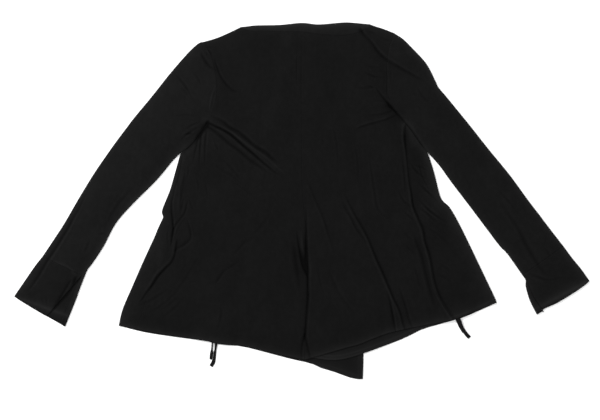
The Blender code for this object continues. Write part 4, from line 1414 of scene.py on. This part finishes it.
def add_node(tree, kind, settings=None, **links):
    """Add a node, set its named inputs or attributes and link sockets into it."""
    node = tree.nodes.new(kind)
    for key, value in (settings or {}).items():
        if key in node.inputs:
            node.inputs[key].default_value = value
        else:
            setattr(node, key, value)
    for key, socket in links.items():
        index = int(key[2:]) if key.startswith("in") and key[2:].isdigit() else key
        tree.links.new(socket, node.inputs[index])
    return node


print("black of the body:", [round(value, 4) for value in linear("#090909")])

# %% Jersey
WALE = 0.0007
COURSE = 0.00055
TIE_STITCH = 0.0009
# A wave texture of scale 1 has a band every 0.314 m
BAND = 0.314
PATCH_SCALE = 14.0
YARN_SCALE = 900.0
YARN_SHARE = 0.6
# Columns: relief, and what the black is multiplied by there: painted shade in furrows below 1,
# painted highlight on rolls, hems and edges above 1
RELIEF_SHADE = [(0.06, 0.22), (0.49, 1.0), (0.75, 1.8), (1.0, 3.0)]
# Matt, with hardly any shine of its own: the light that the fuzz catches is painted into the
# colour by the relief
SURFACE = {"Roughness": 0.7, "Specular IOR Level": 0.03, "Sheen Roughness": 0.5,
           "Sheen Tint": linear("#8c8c8c")}


def jersey(name, dark, light, wale=WALE, course=COURSE, sheen=0.01):
    """Knitted cloth in a range of blacks, with its stitches, and with painted shade and painted
    highlight from the relief.
    """
    material = bpy.data.materials.new(name)
    material.use_nodes = True
    tree = material.node_tree
    shader = tree.nodes["Principled BSDF"]
    where = add_node(tree, "ShaderNodeTexCoord").outputs["Object"]

    patches = add_node(tree, "ShaderNodeTexNoise", {"Scale": PATCH_SCALE, "Detail": 3.0},
                       Vector=where)
    yarn = add_node(tree, "ShaderNodeTexNoise", {"Scale": YARN_SCALE, "Detail": 2.0},
                    Vector=where)
    blend = add_node(tree, "ShaderNodeMath", {"operation": "MULTIPLY_ADD"},
                     in0=yarn.outputs["Fac"], in2=patches.outputs["Fac"])
    blend.inputs[1].default_value = YARN_SHARE
    dye = add_node(tree, "ShaderNodeValToRGB", in0=blend.outputs[0])
    for stop, place, colour in zip(dye.color_ramp.elements, (0.3, 1.0), (dark, light)):
        stop.position = place
        stop.color = linear(colour)

    # Painted shade and highlight: the black is darkened in furrows and lightened on rolls, hems
    # and edges by the relief of each vertex
    relief = add_node(tree, "ShaderNodeAttribute", {"attribute_name": "relief"})
    shade = add_node(tree, "ShaderNodeValToRGB", in0=relief.outputs["Fac"])
    stops = shade.color_ramp.elements
    stops[0].position, stops[1].position = RELIEF_SHADE[0][0], RELIEF_SHADE[1][0]
    for place, _ in RELIEF_SHADE[2:]:
        stops.new(place)
    for stop, (_, factor) in zip(stops, RELIEF_SHADE):
        stop.color = (factor, factor, factor, 1.0)
    tint = add_node(tree, "ShaderNodeMix", {"data_type": "RGBA", "blend_type": "MULTIPLY"})
    tint.inputs[0].default_value = 1.0
    tree.links.new(dye.outputs["Color"], tint.inputs[6])
    tree.links.new(shade.outputs["Color"], tint.inputs[7])
    tree.links.new(tint.outputs[2], shader.inputs["Base Color"])

    wales, courses = [
        add_node(tree, "ShaderNodeTexWave", {"bands_direction": direction,
                                             "Scale": BAND / spacing, "Distortion": uneven,
                                             "Detail": 1.0, "Detail Scale": 2.0}, Vector=where)
        for direction, spacing, uneven in (("X", wale, 0.6), ("Y", course, 0.8))]
    knit = add_node(tree, "ShaderNodeMath", {"operation": "ADD"},
                    in0=wales.outputs["Fac"], in1=courses.outputs["Fac"])
    fuzz = add_node(tree, "ShaderNodeMath", {"operation": "ADD"},
                    in0=knit.outputs[0], in1=yarn.outputs["Fac"])
    bump = add_node(tree, "ShaderNodeBump", {"Strength": 0.35, "Distance": 0.0002},
                    Height=fuzz.outputs[0])
    tree.links.new(bump.outputs["Normal"], shader.inputs["Normal"])

    for socket, value in SURFACE.items():
        shader.inputs[socket].default_value = value
    shader.inputs["Sheen Weight"].default_value = sheen
    return material


# Painted light: one black jersey, given a lighter black on the sleeves, cuffs and collar for their
# angle to the light
JERSEY_BODY = jersey("black_jersey", "#090909", "#0d0d0d")
JERSEY_SLEEVE = jersey("black_jersey_sleeve", "#0b0b0b", "#101010")
JERSEY_RIGHT = jersey("black_jersey_sleeve_right", "#0a0a0a", "#0f0f0f")
JERSEY_CUFF = jersey("black_jersey_cuff", "#090909", "#0e0e0e")
JERSEY_COLLAR = jersey("black_jersey_band", "#0b0b0b", "#0e0e0e", sheen=0.012)
# Painted sheen: the ties' lighter black stands in for light caught by their raw fuzzy edges
TIE_CLOTH = jersey("black_tie_cloth", "#252525", "#2e2e2e", wale=TIE_STITCH, course=TIE_STITCH)
print("materials:", [m.name for m in bpy.data.materials if m.name.startswith("black")])

# %% [markdown]
# ## Each piece gets its cloth
#
# All pieces are cut from one jersey, but the sleeves and the collar lie at their own
# angle to the light and look a shade lighter, so each gets its own black as painted
# light.  One black for all would let the lamp decide, but it is too soft for that.  The
# ties are narrow strips whose raw fuzzy edges catch more light, and that sheen is painted
# into a lighter black.  Light that creeps in at the outline is painted too, more at the
# hems and at the collar than along the sleeves.

# %% Finish of the pieces
# Columns: material, record slot, how strong the painted light at the outline is, how far it
# reaches in
FINISH = {
    "back_left": (JERSEY_BODY, "back_jersey", 2.2, 6.5),
    "back_right": (JERSEY_BODY, "back_jersey", 2.2, 7.5),
    "front_left": (JERSEY_BODY, "front_jersey", 2.6, 8.5),
    "front_right": (JERSEY_BODY, "front_jersey", 2.8, 12.0),
    "sleeve_left": (JERSEY_SLEEVE, "sleeve_jersey", 2.2, 5.0),
    "sleeve_right": (JERSEY_RIGHT, "sleeve_jersey", 2.4, 5.0),
    "cuff_left": (JERSEY_CUFF, "cuff_jersey", 2.6, 6.0),
    "cuff_right": (JERSEY_CUFF, "cuff_jersey", 2.8, 8.0),
    "collar": (JERSEY_COLLAR, "collar_jersey", 3.6, 9.0),
}
OUTLINE_STRIDE = 4
for name, (material, slot, light, reach) in FINISH.items():
    piece = cloth[name]
    edges = EDGES.get(name, [OUTLINE[::OUTLINE_STRIDE]])
    mark_relief(piece, edges, (light, reach), HEMS.get(name, []))
    piece.data.materials.append(material)
    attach(piece, "root")
    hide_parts(name)
for tie in ties:
    tie.data.materials.append(TIE_CLOTH)
print("pieces finished:", len(FINISH) + len(ties))

# %% [markdown]
# ## Cut sheets
#
# Each piece was cut flat from jersey.  They were measured on the pieces and rounded.

# %% [markdown]
# ## Table and light
#
# A white table fills the view.  A broad soft light from the upper left grazes the
# creases, and the white room fills the shadows.  The table could be part of the room,
# but a real one catches the thin shadow that shows how close the cloth lies.

# %% Table
TABLE_SIZE = 6.0
TABLE_Z = -0.0002

half = TABLE_SIZE / 2
table_mesh = bpy.data.meshes.new("table_top")
table_mesh.from_pydata([(-half, -half, 0), (half, -half, 0), (half, half, 0), (-half, half, 0)],
                       [], [(0, 1, 2, 3)])
table = add_object("table_top", table_mesh)
table.location.z = TABLE_Z
white = bpy.data.materials.new("white_table")
white.use_nodes = True
white_shader = white.node_tree.nodes["Principled BSDF"]
white_shader.inputs["Base Color"].default_value = linear("#f7f7f7")
white_shader.inputs["Roughness"].default_value = 0.8
table.data.materials.append(white)
print("table: %.0f m" % TABLE_SIZE)

# %% Room and light
ROOM_STRENGTH = 1.1
LIGHT_PLACE = (-2.3, 1.5, 1.9)
LIGHT_SIZE = 0.9
LIGHT_POWER = 100.0

world = bpy.data.worlds.new("white_room")
world.use_nodes = True
background = world.node_tree.nodes["Background"]
background.inputs["Color"].default_value = linear("#ffffff")
background.inputs["Strength"].default_value = ROOM_STRENGTH
bpy.context.scene.world = world

light_data = bpy.data.lights.new("soft_light", "AREA")
light_data.shape = "DISK"
light_data.size = LIGHT_SIZE
light_data.energy = LIGHT_POWER
light = add_object("soft_light", light_data)
light.location = LIGHT_PLACE
light.rotation_euler = (-Vector(LIGHT_PLACE)).to_track_quat("-Z", "Y").to_euler()
bpy.context.scene.view_settings.view_transform = "Standard"
print("light: %.0f W" % LIGHT_POWER)

# %% Finish
bpy.context.view_layer.update()
